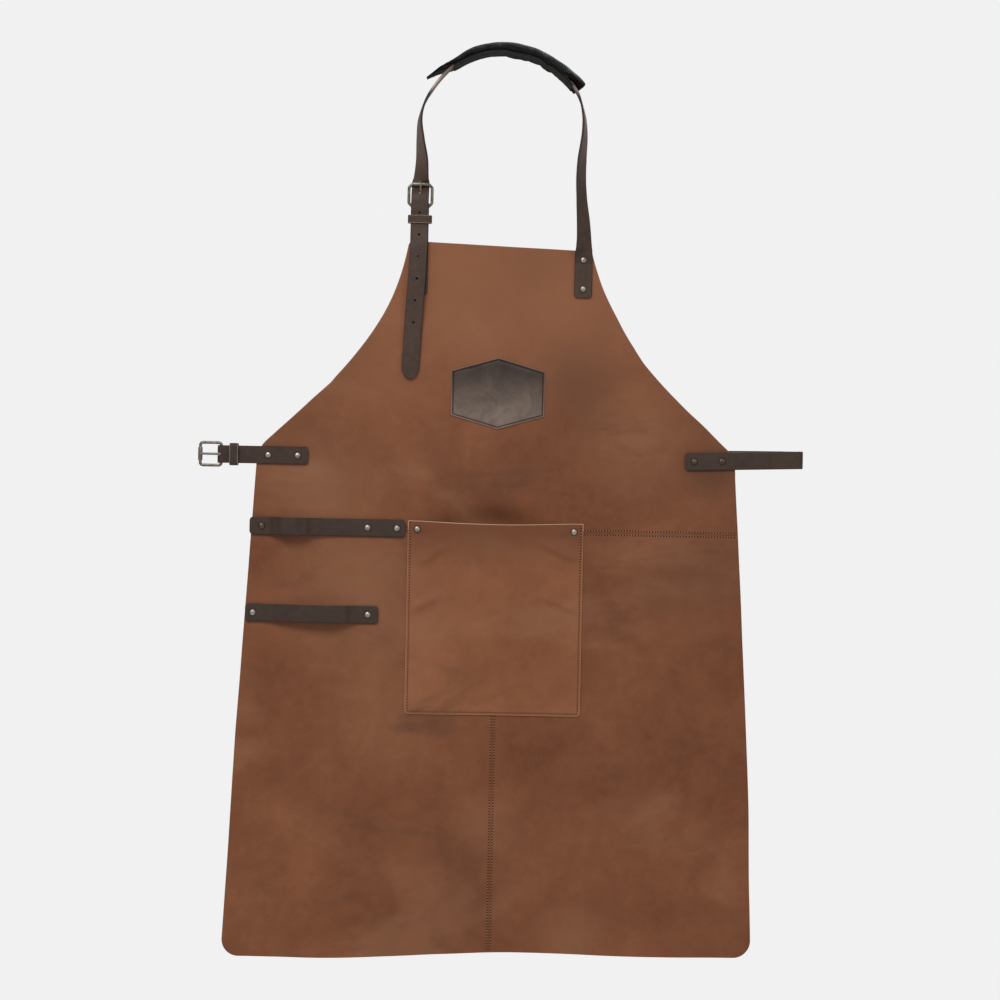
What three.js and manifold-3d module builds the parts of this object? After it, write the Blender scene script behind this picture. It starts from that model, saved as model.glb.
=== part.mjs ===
// Leather work apron hanging by its neck loop.
// Millimetres, +Z up. The origin is on the underside of the neck pad, where a hook carries it.
// The apron's front faces -Y, and +X is to the right as the front is seen.

import * as THREE from 'three';
import { mergeVertices } from 'three/addons/utils/BufferGeometryUtils.js';
import Module from 'manifold-3d';

const wasm = await Module();
wasm.setup();

// ---------------------------------------------------------------- driving dimensions

const PANEL_T = 1.6;
const POCKET_T = 1.4;
const BADGE_T = 2.0;
const STRAP_W = 20;
const STRAP_T = 2.6;
const KEEPER_T = 1.9;
const KEEPER_BEVEL = 1.2;
const GAP = 0.3;
const CURVED_GAP = 0.5;

const BIB_TOP_Z = -220;
const BIB_HALF = 103;
const WAIST_HALF = 272.5;
const HEM_HALF = 301;
const HEM_Z = -1026;
const HEM_CORNER = 19;
const HEM_SAG = 9;
const SEAM_Z = -545.3;
const SEAM_X = 3;
const SEAM_GAP = 0.4;
const SEAM_TURNING = 9;

const POCKET = { x: 2, top: -535.5, width: 200, height: 220, bulge: 10 };
const BADGE = { x: 1.4, z: -389, halfWidth: 53.2, halfHeight: 40.7, halfSide: 25.5 };

const NECK_X = 96;
const BUCKLE_X = -91.3;
const NECK_RIVETS_Z = [-235, -268];
const NECK_END_Z = -278;
const SWING_Z = -207;
const NECK_ROLLER_Z = -152;
const NECK_HEEL_Z = -177.4;
const NECK_KEEPER_Z = -192.3;

const WAIST_Z = -464;
const LEFT_END_X = -213;
const LEFT_RIVETS_X = [-225.3, -258.9];
const LEFT_HINGE_X = -277;
const LEFT_HEEL_X = -312.4;
const LEFT_ROLLER_X = -336.4;
const LEFT_KEEPER_X = -297.6;

const RIGHT_END_X = 216;
const RIGHT_RIVETS_X = [226.6, 258.3];
const RIGHT_HINGE_X = 278;
const RIGHT_FOLD_X = 346.5;
const RIGHT_STRAP_LENGTH = 560;
const RIGHT_STRAP_SAG = 30;

const TOOL_STRAPS = [
  { name: 'upper', z: -544.7, left: -278.5, right: -101, rivets: [-264.7, -144, -110.5], bulge: 14 },
  { name: 'lower', z: -643.8, left: -282, right: -130, rivets: [-273.2, -142], bulge: 14 },
];

const HOLE_R = 1.6;
const HOLE_PITCH = 25;
const POST_R = 1.5;
const POST_HOLE_R = 2.0;
const CAP_R = 4.0;
const WIRE_R = 1.5;
const ROLLER_R = 2.3;

// Heights of the layers, measured along Y from the middle of the bib leather.
const BIB_FRONT_Y = -PANEL_T / 2;
const STRAP_Y = BIB_FRONT_Y - GAP - STRAP_T / 2;
const BACK_LAYER_Y = STRAP_Y + STRAP_T + GAP;
const TAIL_Y = STRAP_Y - STRAP_T - GAP;
const HEEL_BEND_R = WIRE_R + GAP + STRAP_T / 2;
const HEEL_Y = STRAP_Y + HEEL_BEND_R;
const FOLDED_STRAP_Y = 6.0;

// ---------------------------------------------------------------- materials

function finish(color, roughness, metalness = 0) {
  return new THREE.MeshStandardMaterial({ color, roughness, metalness });
}

const brownLeather = finish(0x7e523a, 0.62);
const badgeLeather = finish(0x4a3c34, 0.38);
const strapLeather = finish(0x483830, 0.58);
const padLeather = finish(0x23251f, 0.5);
const liningLeather = finish(0x1d1e1b, 0.7);
const nickel = finish(0x8c877c, 0.34, 1);

// ---------------------------------------------------------------- solids

const group = new THREE.Group();

function addPart(name, geometry, material) {
  geometry.computeVertexNormals();
  const mesh = new THREE.Mesh(geometry, material);
  mesh.name = name;
  group.add(mesh);
  return mesh;
}

function smoothstep(from, to, value) {
  const t = THREE.MathUtils.clamp((value - from) / (to - from), 0, 1);
  return t * t * (3 - 2 * t);
}

function toManifold(geometry) {
  const bare = geometry.clone();
  bare.deleteAttribute('normal');
  bare.deleteAttribute('uv');
  const merged = mergeVertices(bare, 1e-4);
  return new wasm.Manifold(new wasm.Mesh({
    numProp: 3,
    vertProperties: new Float32Array(merged.attributes.position.array),
    triVerts: new Uint32Array(merged.index.array),
  }));
}

function toGeometry(manifold) {
  const mesh = manifold.getMesh();
  const geometry = new THREE.BufferGeometry();
  geometry.setAttribute('position', new THREE.BufferAttribute(new Float32Array(mesh.vertProperties), 3));
  geometry.setIndex(new THREE.BufferAttribute(new Uint32Array(mesh.triVerts), 1));
  return geometry;
}

function cut(geometry, cutters) {
  let solid = toManifold(geometry);
  for (const cutter of cutters) {
    solid = solid.subtract(toManifold(cutter));
  }
  return toGeometry(solid);
}

// A round drill through a layer at (x, z), along Y.
function drill(x, z, radius = POST_HOLE_R) {
  const cylinder = new THREE.CylinderGeometry(radius, radius, 60, 10);
  cylinder.translate(x, 0, z);
  return cylinder;
}

function boxCutter(sizeX, sizeY, sizeZ, x, y, z) {
  const box = new THREE.BoxGeometry(sizeX, sizeY, sizeZ);
  box.translate(x, y, z);
  return box;
}

// Turns a solid's faces outwards if it was built inside out.
function facingOut(positions, index) {
  const geometry = new THREE.BufferGeometry();
  geometry.setAttribute('position', new THREE.BufferAttribute(new Float32Array(positions), 3));
  const a = new THREE.Vector3();
  const b = new THREE.Vector3();
  const c = new THREE.Vector3();
  let volume = 0;
  for (let i = 0; i < index.length; i += 3) {
    a.fromArray(positions, 3 * index[i]);
    b.fromArray(positions, 3 * index[i + 1]);
    c.fromArray(positions, 3 * index[i + 2]);
    volume += a.dot(b.cross(c));
  }
  if (volume < 0) {
    for (let i = 0; i < index.length; i += 3) {
      [index[i + 1], index[i + 2]] = [index[i + 2], index[i + 1]];
    }
  }
  geometry.setIndex(index);
  return geometry;
}

// Sweeps a section through stations. A station has a centre p, a width direction u, a thickness
// direction v, and optional factors on each. The section is a list of Vector2 in (u, v).
function sweep(stations, section, closed = false) {
  const positions = [];
  const index = [];
  const count = section.length;
  for (const station of stations) {
    for (const corner of section) {
      const point = station.p.clone();
      point.addScaledVector(station.u, corner.x * (station.widthFactor ?? 1));
      point.addScaledVector(station.v, corner.y * (station.thickFactor ?? 1));
      positions.push(point.x, point.y, point.z);
    }
  }
  const rings = stations.length;
  const spans = closed ? rings : rings - 1;
  for (let ring = 0; ring < spans; ring += 1) {
    const here = ring * count;
    const next = ((ring + 1) % rings) * count;
    for (let k = 0; k < count; k += 1) {
      const after = (k + 1) % count;
      index.push(here + k, here + after, next + after);
      index.push(here + k, next + after, next + k);
    }
  }
  if (!closed) {
    const last = (rings - 1) * count;
    for (const [i, j, k] of THREE.ShapeUtils.triangulateShape(section, [])) {
      index.push(i, k, j);
      index.push(last + i, last + j, last + k);
    }
  }
  return facingOut(positions, index);
}

function rectangle(width, thickness, middle = 0) {
  const low = middle - thickness / 2;
  const high = middle + thickness / 2;
  return [
    new THREE.Vector2(-width / 2, low),
    new THREE.Vector2(width / 2, low),
    new THREE.Vector2(width / 2, high),
    new THREE.Vector2(-width / 2, high),
  ];
}

function roundSection(radius, sides = 8) {
  const points = [];
  for (let k = 0; k < sides; k += 1) {
    const angle = (k + 0.5) / sides * 2 * Math.PI;
    points.push(new THREE.Vector2(radius * Math.cos(angle), radius * Math.sin(angle)));
  }
  return points;
}

// Stations on a curve at parts of its length. The width direction u starts as near `across` as the
// curve lets it, and turns about the curve by twist(point).
function stationsAt(curve, parts, across, twist = () => 0) {
  return parts.map((part) => {
    const p = curve.getPointAt(part);
    const tangent = curve.getTangentAt(part);
    const u = across.clone().addScaledVector(tangent, -across.dot(tangent)).normalize();
    const v = new THREE.Vector3().crossVectors(tangent, u);
    const angle = twist(p);
    u.applyAxisAngle(tangent, angle);
    v.applyAxisAngle(tangent, angle);
    return { p, u, v };
  });
}

function spline(points) {
  const vectors = points.map(([x, y, z]) => new THREE.Vector3(x, y, z));
  return new THREE.CatmullRomCurve3(vectors, false, 'centripetal');
}

// ---------------------------------------------------------------- the apron's cut and hang

// Right-hand edge of the apron from the bib's corner to the hem.
const edgeCurve = new THREE.CurvePath();
edgeCurve.add(new THREE.CubicBezierCurve(
  new THREE.Vector2(BIB_HALF, BIB_TOP_Z - 4),
  new THREE.Vector2(115, -290),
  new THREE.Vector2(148, -350),
  new THREE.Vector2(262, -449),
));
edgeCurve.add(new THREE.QuadraticBezierCurve(
  new THREE.Vector2(262, -449),
  new THREE.Vector2(272, -459),
  new THREE.Vector2(WAIST_HALF, -480),
));
edgeCurve.add(new THREE.LineCurve(
  new THREE.Vector2(WAIST_HALF, -480),
  new THREE.Vector2(HEM_HALF, HEM_Z + HEM_CORNER),
));
const edgePoints = edgeCurve.getSpacedPoints(160);

// Half the apron's width at a height.
function halfWidth(z) {
  if (z > BIB_TOP_Z - 4) {
    return BIB_HALF - (z - BIB_TOP_Z + 4) * 0.8;
  }
  if (z < HEM_Z + HEM_CORNER) {
    const down = Math.min(HEM_Z + HEM_CORNER - z, HEM_CORNER);
    return HEM_HALF - HEM_CORNER + Math.sqrt(HEM_CORNER ** 2 - down ** 2);
  }
  let i = 1;
  while (i < edgePoints.length - 1 && edgePoints[i].y > z) {
    i += 1;
  }
  const above = edgePoints[i - 1];
  const below = edgePoints[i];
  return THREE.MathUtils.mapLinear(z, above.y, below.y, above.x, below.x);
}

// How far the leather's middle stands from the plane Y = 0.
function drape(x, z) {
  const fall = smoothstep(-470, HEM_Z, z);
  const flute = 4 * fall * Math.sin((x + 40) / 290 * 2 * Math.PI);
  const curl = 11 * smoothstep(-440, -1000, z) * smoothstep(120, 300, Math.abs(x));
  return flute + curl;
}

// The hem hangs lower towards the left.
function hemSag(x, z) {
  return HEM_SAG * smoothstep(40, -220, x) * smoothstep(-700, HEM_Z, z);
}

// A leather panel as a grid: rows at heights, columns at parts of the width between two edges.
// offset() moves the panel's middle along Y, and extra() thickens it at the back.
function panel(rows, parts, left, right, thickness, offset, extra = () => 0) {
  const positions = [];
  const index = [];
  const across = parts.length;
  const columns = across - 1;
  const layer = rows.length * across;
  for (const side of [-1, 1]) {
    for (const z of rows) {
      for (const part of parts) {
        const x = THREE.MathUtils.lerp(left(z), right(z), part);
        const backing = side > 0 ? extra(part, z) : 0;
        const y = offset(x, z) + side * thickness / 2 + backing;
        positions.push(x, y, z - hemSag(x, z));
      }
    }
  }
  const quad = (a, b, c, d) => index.push(a, b, c, a, c, d);
  for (let row = 0; row < rows.length - 1; row += 1) {
    for (let column = 0; column < columns; column += 1) {
      const a = row * across + column;
      const b = a + across;
      quad(a, b, b + 1, a + 1);
      quad(layer + a, layer + a + 1, layer + b + 1, layer + b);
    }
  }
  const lastRow = (rows.length - 1) * across;
  for (let column = 0; column < columns; column += 1) {
    quad(column, column + 1, layer + column + 1, layer + column);
    quad(lastRow + column + 1, lastRow + column, layer + lastRow + column, layer + lastRow + column + 1);
  }
  for (let row = 0; row < rows.length - 1; row += 1) {
    const a = row * across;
    const b = a + columns;
    quad(a + across, a, layer + a, layer + a + across);
    quad(b, b + across, layer + b + across, layer + b);
  }
  return facingOut(positions, index);
}

function rowsBetween(top, bottom, count) {
  return Array.from({ length: count + 1 }, (_, i) => THREE.MathUtils.lerp(top, bottom, i / count));
}

// Seam allowances are turned to the back and double the leather beside a seam.
function turnedAt(distance) {
  return distance < SEAM_TURNING ? PANEL_T : 0;
}

// ---------------------------------------------------------------- leather panels

const bibRows = [
  ...rowsBetween(BIB_TOP_Z, BIB_TOP_Z - 4, 1),
  ...rowsBetween(BIB_TOP_Z - 14, -440, 11),
  ...rowsBetween(-450, -480, 4),
  ...rowsBetween(-500, SEAM_Z + SEAM_TURNING + 0.3, 2),
  SEAM_Z + SEAM_TURNING,
  SEAM_Z + SEAM_GAP / 2,
];
const skirtRows = [
  SEAM_Z - SEAM_GAP / 2,
  SEAM_Z - SEAM_TURNING,
  ...rowsBetween(SEAM_Z - SEAM_TURNING - 0.3, HEM_Z + HEM_CORNER, 12),
  ...[0.3, 0.55, 0.8, 0.94, 1].map((part) => HEM_Z + HEM_CORNER * (1 - part)),
];
const bibColumns = rowsBetween(0, 1, 10);
const seamPart = SEAM_TURNING / HEM_HALF;
const skirtColumns = [0, seamPart, seamPart + 0.001, ...rowsBetween(0.12, 1, 7)];

function drillsAt(places) {
  return places.map(([x, z]) => drill(x, z));
}

const neckRivets = NECK_RIVETS_Z.flatMap((z) => [[NECK_X, z], [BUCKLE_X, z]]);
const leftRivets = LEFT_RIVETS_X.map((x) => [x, WAIST_Z]);
const rightRivets = RIGHT_RIVETS_X.map((x) => [x, rightStrapZ(x)]);
const toolRivets = TOOL_STRAPS.map((strap) => strap.rivets.map((x) => [x, strap.z]));
const pocketRivets = [-1, 1].map((side) => [POCKET.x + side * (POCKET.width / 2 - 10.6), POCKET.top - 9.6]);
const seamRivets = [...toolRivets[0], ...pocketRivets];

const bib = panel(bibRows, bibColumns, (z) => -halfWidth(z), halfWidth, PANEL_T, drape,
  (part, z) => turnedAt(z - SEAM_Z));
addPart('bib_panel', cut(bib, drillsAt([...neckRivets, ...leftRivets, ...rightRivets, ...seamRivets])),
  brownLeather);

const rightSkirt = panel(skirtRows, skirtColumns, () => SEAM_X + SEAM_GAP / 2, halfWidth, PANEL_T, drape,
  (part, z) => Math.max(turnedAt(SEAM_Z - z - 0.01), part <= seamPart ? PANEL_T : 0));
addPart('skirt_right_panel', cut(rightSkirt, drillsAt(seamRivets)), brownLeather);

const leftSkirt = panel(skirtRows, skirtColumns.map((part) => 1 - part).reverse(),
  (z) => -halfWidth(z), () => SEAM_X - SEAM_GAP / 2, PANEL_T, drape,
  (part, z) => Math.max(turnedAt(SEAM_Z - z - 0.01), part >= 1 - seamPart ? PANEL_T : 0));
addPart('skirt_left_panel', cut(leftSkirt, drillsAt([...seamRivets, ...toolRivets[1]])), brownLeather);

// ---------------------------------------------------------------- pocket and badge

const pocketLeft = POCKET.x - POCKET.width / 2;
const pocketRight = POCKET.x + POCKET.width / 2;

// The pocket bows out at its mouth and lies flat at its stitched edges.
function pocketBulge(x, z) {
  const side = THREE.MathUtils.clamp(Math.abs(x - POCKET.x) / (POCKET.width / 2 - 14), 0, 1);
  const depth = THREE.MathUtils.clamp((POCKET.top - z) / (POCKET.height - 10), 0, 1);
  return POCKET.bulge * (1 - side ** 2) ** 1.5 * (1 - depth ** 1.5);
}

const pocketGrid = panel(rowsBetween(POCKET.top, POCKET.top - POCKET.height, 10), rowsBetween(0, 1, 12),
  () => pocketLeft, () => pocketRight, POCKET_T,
  (x, z) => drape(x, z) + BIB_FRONT_Y - CURVED_GAP - POCKET_T / 2 - pocketBulge(x, z));
addPart('pocket', cut(pocketGrid, drillsAt(pocketRivets)), brownLeather);

const badgeShape = new THREE.Shape([
  new THREE.Vector2(0, BADGE.halfHeight),
  new THREE.Vector2(-BADGE.halfWidth, BADGE.halfSide),
  new THREE.Vector2(-BADGE.halfWidth, -BADGE.halfSide),
  new THREE.Vector2(0, -BADGE.halfHeight),
  new THREE.Vector2(BADGE.halfWidth, -BADGE.halfSide),
  new THREE.Vector2(BADGE.halfWidth, BADGE.halfSide),
]);
const badge = new THREE.ExtrudeGeometry(badgeShape, { depth: BADGE_T, bevelEnabled: false });
badge.rotateX(Math.PI / 2);
const badgeMesh = addPart('badge_patch', badge, badgeLeather);
badgeMesh.position.set(BADGE.x, BIB_FRONT_Y - GAP, BADGE.z);

// ---------------------------------------------------------------- straps

const ACROSS_X = new THREE.Vector3(1, 0, 0);
const ACROSS_Y = new THREE.Vector3(0, 1, 0);
const ACROSS_Z = new THREE.Vector3(0, 0, 1);
const TIP_LENGTH = 14;
const CORNER_R = 4;

// Half-width, as a part of the full one, at a distance from a rounded strap end.
function endFactor(distance, length, radius) {
  if (distance >= length) {
    return 1;
  }
  const rise = Math.sqrt(1 - ((length - distance) / length) ** 2);
  return Math.max(1 - radius * (1 - rise) / (STRAP_W / 2), 0.12);
}

// A strap along a curve. Its ends are square, or have rounded corners, or a point; a half-round end
// is rounded through the thickness about its last station, for the bending line of a hinge.
function strap(curve, step, across, ends = {}, twist = undefined) {
  const length = curve.getLength();
  const marks = new Set(rowsBetween(0, length, Math.ceil(length / step)));
  for (const near of [0, 0.8, 2, 4]) {
    if (ends.start === 'corners') marks.add(near);
    if (ends.end === 'corners') marks.add(length - near);
  }
  for (const near of [0, 0.8, 3, 7, TIP_LENGTH]) {
    if (ends.end === 'point') marks.add(length - near);
  }
  const inOrder = [...marks].sort((a, b) => a - b);
  const sorted = inOrder.filter((mark, i) => i === 0 || mark - inOrder[i - 1] > 0.3);
  const stations = sorted.map((mark) => {
    const [station] = stationsAt(curve, [mark / length], across, twist);
    let factor = 1;
    if (ends.start === 'corners') factor = Math.min(factor, endFactor(mark, CORNER_R, CORNER_R));
    if (ends.end === 'corners') factor = Math.min(factor, endFactor(length - mark, CORNER_R, CORNER_R));
    if (ends.end === 'point') factor = Math.min(factor, endFactor(length - mark, TIP_LENGTH, STRAP_W / 2));
    return { ...station, widthFactor: factor };
  });
  if (ends.start === 'halfRound') {
    stations.unshift(...halfRound(stations[0], curve.getTangentAt(0).negate()).reverse());
  }
  if (ends.end === 'halfRound') {
    stations.push(...halfRound(stations[stations.length - 1], curve.getTangentAt(1)));
  }
  return sweep(stations, rectangle(STRAP_W, STRAP_T));
}

function halfRound(station, outwards) {
  return [30, 60, 84].map((degrees) => {
    const angle = THREE.MathUtils.degToRad(degrees);
    const p = station.p.clone().addScaledVector(outwards, STRAP_T / 2 * Math.sin(angle));
    return { ...station, p, thickFactor: Math.cos(angle) };
  });
}

const HINGE_CLEAR = STRAP_T / 2 + 2 * GAP;
const TAIL_SPLIT = { above: 1, below: 1.4 };

// Neck loop: up the right side, over the hook and down the left side, behind the buckle's roller,
// forward through its frame and down in front of the bib as the tail.
const neckRoute = [
  [NECK_X, STRAP_Y, SWING_Z + HINGE_CLEAR],
  [95.8, STRAP_Y, -197],
  [92.6, STRAP_Y + 0.5, -166],
  [92, -0.6, -121],
  [94.4, 0, -92],
  [93.6, 0, -72],
  [89, 0, -53],
  [82, 0, -38.8],
  [72, 0, -28],
  [58, 0, -15.8],
  [40, 0, -5.2],
  [20, 0, 1],
  [0, 0, 2.9],
  [-20, 0, 1],
  [-40, 0, -6],
  [-56, 0, -16],
  [-70, 0, -30],
  [-81, 0, -45],
  [-89, 0.2, -60],
  [-93.4, 0.6, -78],
  [-92.6, 1.4, -100],
  [-90.4, 2.8, -124],
  [-91, 4.6, -144],
  [-91.3, 4.6, -152],
  [-91.4, 3.6, -156.5],
  [-91.5, -0.4, -165.5],
  [-91.6, -5.5, -176],
  [-91.8, TAIL_Y - 0.15, -184],
  [-91.8, TAIL_Y, SWING_Z + TAIL_SPLIT.above],
];

// The strap lies flat over the hook and turns its face to the front on its way down.
const NECK_TWIST = {
  right: [[-45, 0], [-75, 9], [-93, 16], [-121, 27], [-166, 38], [-200, 88], [-206, 90]],
  left: [[-45, 0], [-70, 6], [-88, 16], [-106, 27], [-124, 40], [-144, 78], [-150, 90]],
};

function neckTwist(point) {
  const steps = point.x > 0 ? NECK_TWIST.right : NECK_TWIST.left;
  let degrees = point.z > steps[0][0] ? 0 : steps[steps.length - 1][1];
  for (let i = 1; i < steps.length; i += 1) {
    const [above, turnAbove] = steps[i - 1];
    const [below, turnBelow] = steps[i];
    if (point.z <= above && point.z > below) {
      degrees = THREE.MathUtils.mapLinear(point.z, above, below, turnAbove, turnBelow);
    }
  }
  return -THREE.MathUtils.degToRad(degrees);
}

const neckCurve = spline(neckRoute);
const prongSlot = boxCutter(3.2, 30, 13, BUCKLE_X, -2, -169.5);
addPart('neck_strap', cut(strap(neckCurve, 7, ACROSS_Y, { start: 'halfRound' }, neckTwist), [prongSlot]),
  strapLeather);

const neckEndCurve = spline([[NECK_X, STRAP_Y, SWING_Z - GAP], [NECK_X, STRAP_Y, -240],
  [NECK_X, STRAP_Y, NECK_END_Z]]);
addPart('neck_strap_end', cut(strap(neckEndCurve, 12, ACROSS_X, { end: 'corners' }),
  drillsAt([neckRivets[0], neckRivets[2]])), strapLeather);

// Tail below the apron's swing line. It rides over the rivet caps and drifts outwards to its point.
const TAIL_TIP_Z = -374;
const FIRST_HOLE_Z = -185;
const TAIL_TOP_Z = SWING_Z - TAIL_SPLIT.below;
const tailCurve = spline([
  [-91.8, TAIL_Y, TAIL_TOP_Z],
  [-92, -7.5, -227],
  [-93.4, -7.8, -258],
  [-95.1, -7.5, -286],
  [-97.4, -6.2, -330],
  [-99.4, -4.6, TAIL_TIP_Z],
]);
const tailHoles = [1, 2, 3, 4, 5].map((i) => {
  const z = FIRST_HOLE_Z - i * HOLE_PITCH;
  const part = (TAIL_TOP_Z - z) / (TAIL_TOP_Z - TAIL_TIP_Z);
  return drill(tailCurve.getPointAt(part).x, z, HOLE_R);
});
addPart('neck_strap_tail', cut(strap(tailCurve, 14, ACROSS_X, { end: 'point' }), tailHoles), strapLeather);

// A strap's end looped round a buckle's heel bar and turned back behind itself. `along` maps a
// distance from the heel bar, measured away from the roller, and a Y to a point.
function loopedStrap(along, frontLength, backLength, across, ends) {
  const points = [];
  points.push(along(frontLength, STRAP_Y));
  points.push(along(frontLength * 0.5, STRAP_Y));
  for (let degrees = 0; degrees <= 180; degrees += 30) {
    const angle = THREE.MathUtils.degToRad(degrees);
    points.push(along(-HEEL_BEND_R * Math.sin(angle), HEEL_Y - HEEL_BEND_R * Math.cos(angle)));
  }
  points.push(along(4.5, HEEL_Y + HEEL_BEND_R - 1.3));
  points.push(along(8.5, BACK_LAYER_Y + 0.3));
  points.push(along(12, BACK_LAYER_Y));
  points.push(along(backLength, BACK_LAYER_Y));
  return strap(spline(points), 3, across, ends);
}

const neckLoop = loopedStrap((d, y) => [BUCKLE_X, y, NECK_HEEL_Z - d],
  NECK_HEEL_Z - SWING_Z - HINGE_CLEAR, 22, ACROSS_X, { start: 'halfRound' });
const prongNotch = boxCutter(3.6, 12, 11, BUCKLE_X, HEEL_Y, NECK_HEEL_Z + 2);
addPart('neck_buckle_strap', cut(neckLoop, [prongNotch]), strapLeather);

const tabCurve = spline([[BUCKLE_X, STRAP_Y, SWING_Z - GAP], [BUCKLE_X, STRAP_Y, -240],
  [BUCKLE_X, STRAP_Y, NECK_END_Z]]);
addPart('neck_buckle_tab', cut(strap(tabCurve, 12, ACROSS_X, { end: 'corners' }),
  drillsAt([neckRivets[1], neckRivets[3]])), strapLeather);

// ---------------------------------------------------------------- neck pad

const LINING_T = 1.2;
const PAD_HALF = 28;
const PAD_CLEAR = 0.4;
const PAD_LEFT_X = -86;
const PAD_RIGHT_Z = -42;
const LINING_LEFT_X = -46;
const padBottom = STRAP_T / 2 + PAD_CLEAR;
const padTop = -(padBottom + 3);
const padCurve = spline([
  ...neckRoute.slice(5, 15),
  [-56, 0, -14.6],
  [-70, 0, -20.2],
  [PAD_LEFT_X, 0, -28],
]);

// Part of the pad's curve at which it has risen or run as far as the test asks.
function partWhere(test) {
  let part = 0;
  while (!test(padCurve.getPointAt(part))) {
    part += 0.002;
  }
  return part;
}

// The cover is a channel over the strap. Beyond the strap it narrows into a rounded tongue.
const coverSection = [
  new THREE.Vector2(-PAD_HALF, padTop + 1.2),
  new THREE.Vector2(-PAD_HALF + 5, padTop),
  new THREE.Vector2(PAD_HALF - 5, padTop),
  new THREE.Vector2(PAD_HALF, padTop + 1.2),
  new THREE.Vector2(PAD_HALF, STRAP_T / 2 + 0.1),
  new THREE.Vector2(STRAP_W / 2 + 1, STRAP_T / 2 + 0.1),
  new THREE.Vector2(STRAP_W / 2 + 1, -padBottom),
  new THREE.Vector2(-STRAP_W / 2 - 1, -padBottom),
  new THREE.Vector2(-STRAP_W / 2 - 1, STRAP_T / 2 + 0.1),
  new THREE.Vector2(-PAD_HALF, STRAP_T / 2 + 0.1),
];
const tongueLength = 24;
const padLength = padCurve.getLength();
const padStart = partWhere((p) => p.z > PAD_RIGHT_Z);
const coverStations = stationsAt(padCurve, rowsBetween(padStart, 1, 30), ACROSS_Y).map((station, i) => {
  const left = padLength * (1 - padStart) * (1 - i / 30);
  const reach = Math.min(left / tongueLength, 1);
  return { ...station, widthFactor: 0.25 + 0.75 * Math.sqrt(1 - (1 - reach) ** 2) };
});
addPart('neck_pad', sweep(coverStations, coverSection), padLeather);

const liningEnd = partWhere((p) => p.x < LINING_LEFT_X);
const liningStations = stationsAt(padCurve, rowsBetween(padStart + 0.02, liningEnd, 22), ACROSS_Y);
const liningSection = rectangle(2 * PAD_HALF - 3, LINING_T, padBottom + LINING_T / 2);
addPart('neck_pad_lining', sweep(liningStations, liningSection), liningLeather);

// ---------------------------------------------------------------- buckles and keepers

const PRONG_R = 0.9;
const PRONG_RING_R = WIRE_R + 0.1 + PRONG_R;
const FRAME_CORNER_R = 3;

// A closed run of stations round a rounded rectangle in the local XZ plane, for a frame's wire.
function frameStations(halfWidth, bottom, top) {
  const stations = [];
  const corners = [
    [halfWidth - FRAME_CORNER_R, top - FRAME_CORNER_R, 0],
    [-halfWidth + FRAME_CORNER_R, top - FRAME_CORNER_R, 90],
    [-halfWidth + FRAME_CORNER_R, bottom + FRAME_CORNER_R, 180],
    [halfWidth - FRAME_CORNER_R, bottom + FRAME_CORNER_R, 270],
  ];
  for (const [x, z, start] of corners) {
    for (let step = 0; step <= 3; step += 1) {
      const angle = THREE.MathUtils.degToRad(start + step * 30);
      const outwards = new THREE.Vector3(Math.cos(angle), 0, Math.sin(angle));
      const p = new THREE.Vector3(x, 0, z).addScaledVector(outwards, FRAME_CORNER_R);
      stations.push({ p, u: outwards, v: ACROSS_Y });
    }
  }
  return stations;
}

// A roller buckle in its own frame: heel bar along X through the origin, roller bar at Z = span,
// front towards -Y. place() is the matrix that puts it on the apron.
function addBuckle(prefix, place, span, halfWidth, rollerLength) {
  const frame = sweep(frameStations(halfWidth, 0, span), roundSection(WIRE_R), true);

  const rollerProfile = [
    new THREE.Vector2(ROLLER_R, -rollerLength / 2),
    new THREE.Vector2(ROLLER_R, rollerLength / 2),
    new THREE.Vector2(WIRE_R + 0.15, rollerLength / 2),
    new THREE.Vector2(WIRE_R + 0.15, -rollerLength / 2),
    new THREE.Vector2(ROLLER_R, -rollerLength / 2),
  ];
  const roller = new THREE.LatheGeometry(rollerProfile, 16);
  roller.rotateZ(Math.PI / 2);
  roller.translate(0, 0, span);

  // The prong wraps the heel bar and reaches to the front of the roller.
  const prongPoints = [];
  for (let degrees = -60; degrees <= 180; degrees += 30) {
    const angle = THREE.MathUtils.degToRad(degrees);
    prongPoints.push([0, PRONG_RING_R * Math.cos(angle), -PRONG_RING_R * Math.sin(angle)]);
  }
  const tipY = -(ROLLER_R + GAP + PRONG_R);
  prongPoints.push([0, -PRONG_RING_R - 0.1, 3]);
  prongPoints.push([0, (tipY - PRONG_RING_R) / 2, span / 2]);
  prongPoints.push([0, tipY, span - 2]);
  prongPoints.push([0, tipY, span + 2.4]);
  const prongCurve = spline(prongPoints);
  const prong = sweep(stationsAt(prongCurve, rowsBetween(0, 1, 22), ACROSS_X), roundSection(PRONG_R, 6));

  for (const [name, geometry] of [['frame', frame], ['roller', roller], ['prong', prong]]) {
    geometry.applyMatrix4(place);
    addPart(`${prefix}_${name}`, geometry, nickel);
  }
}

const neckPlace = new THREE.Matrix4().makeBasis(ACROSS_X, ACROSS_Y, ACROSS_Z);
neckPlace.setPosition(BUCKLE_X, HEEL_Y, NECK_HEEL_Z);
addBuckle('neck_buckle', neckPlace, NECK_ROLLER_Z - NECK_HEEL_Z, 13.2, 19);

const waistPlace = new THREE.Matrix4().makeBasis(ACROSS_Z, ACROSS_Y, ACROSS_X.clone().negate());
waistPlace.setPosition(LEFT_HEEL_X, HEEL_Y, WAIST_Z);
addBuckle('waist_buckle', waistPlace, LEFT_HEEL_X - LEFT_ROLLER_X, 12.9, 15);

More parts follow.
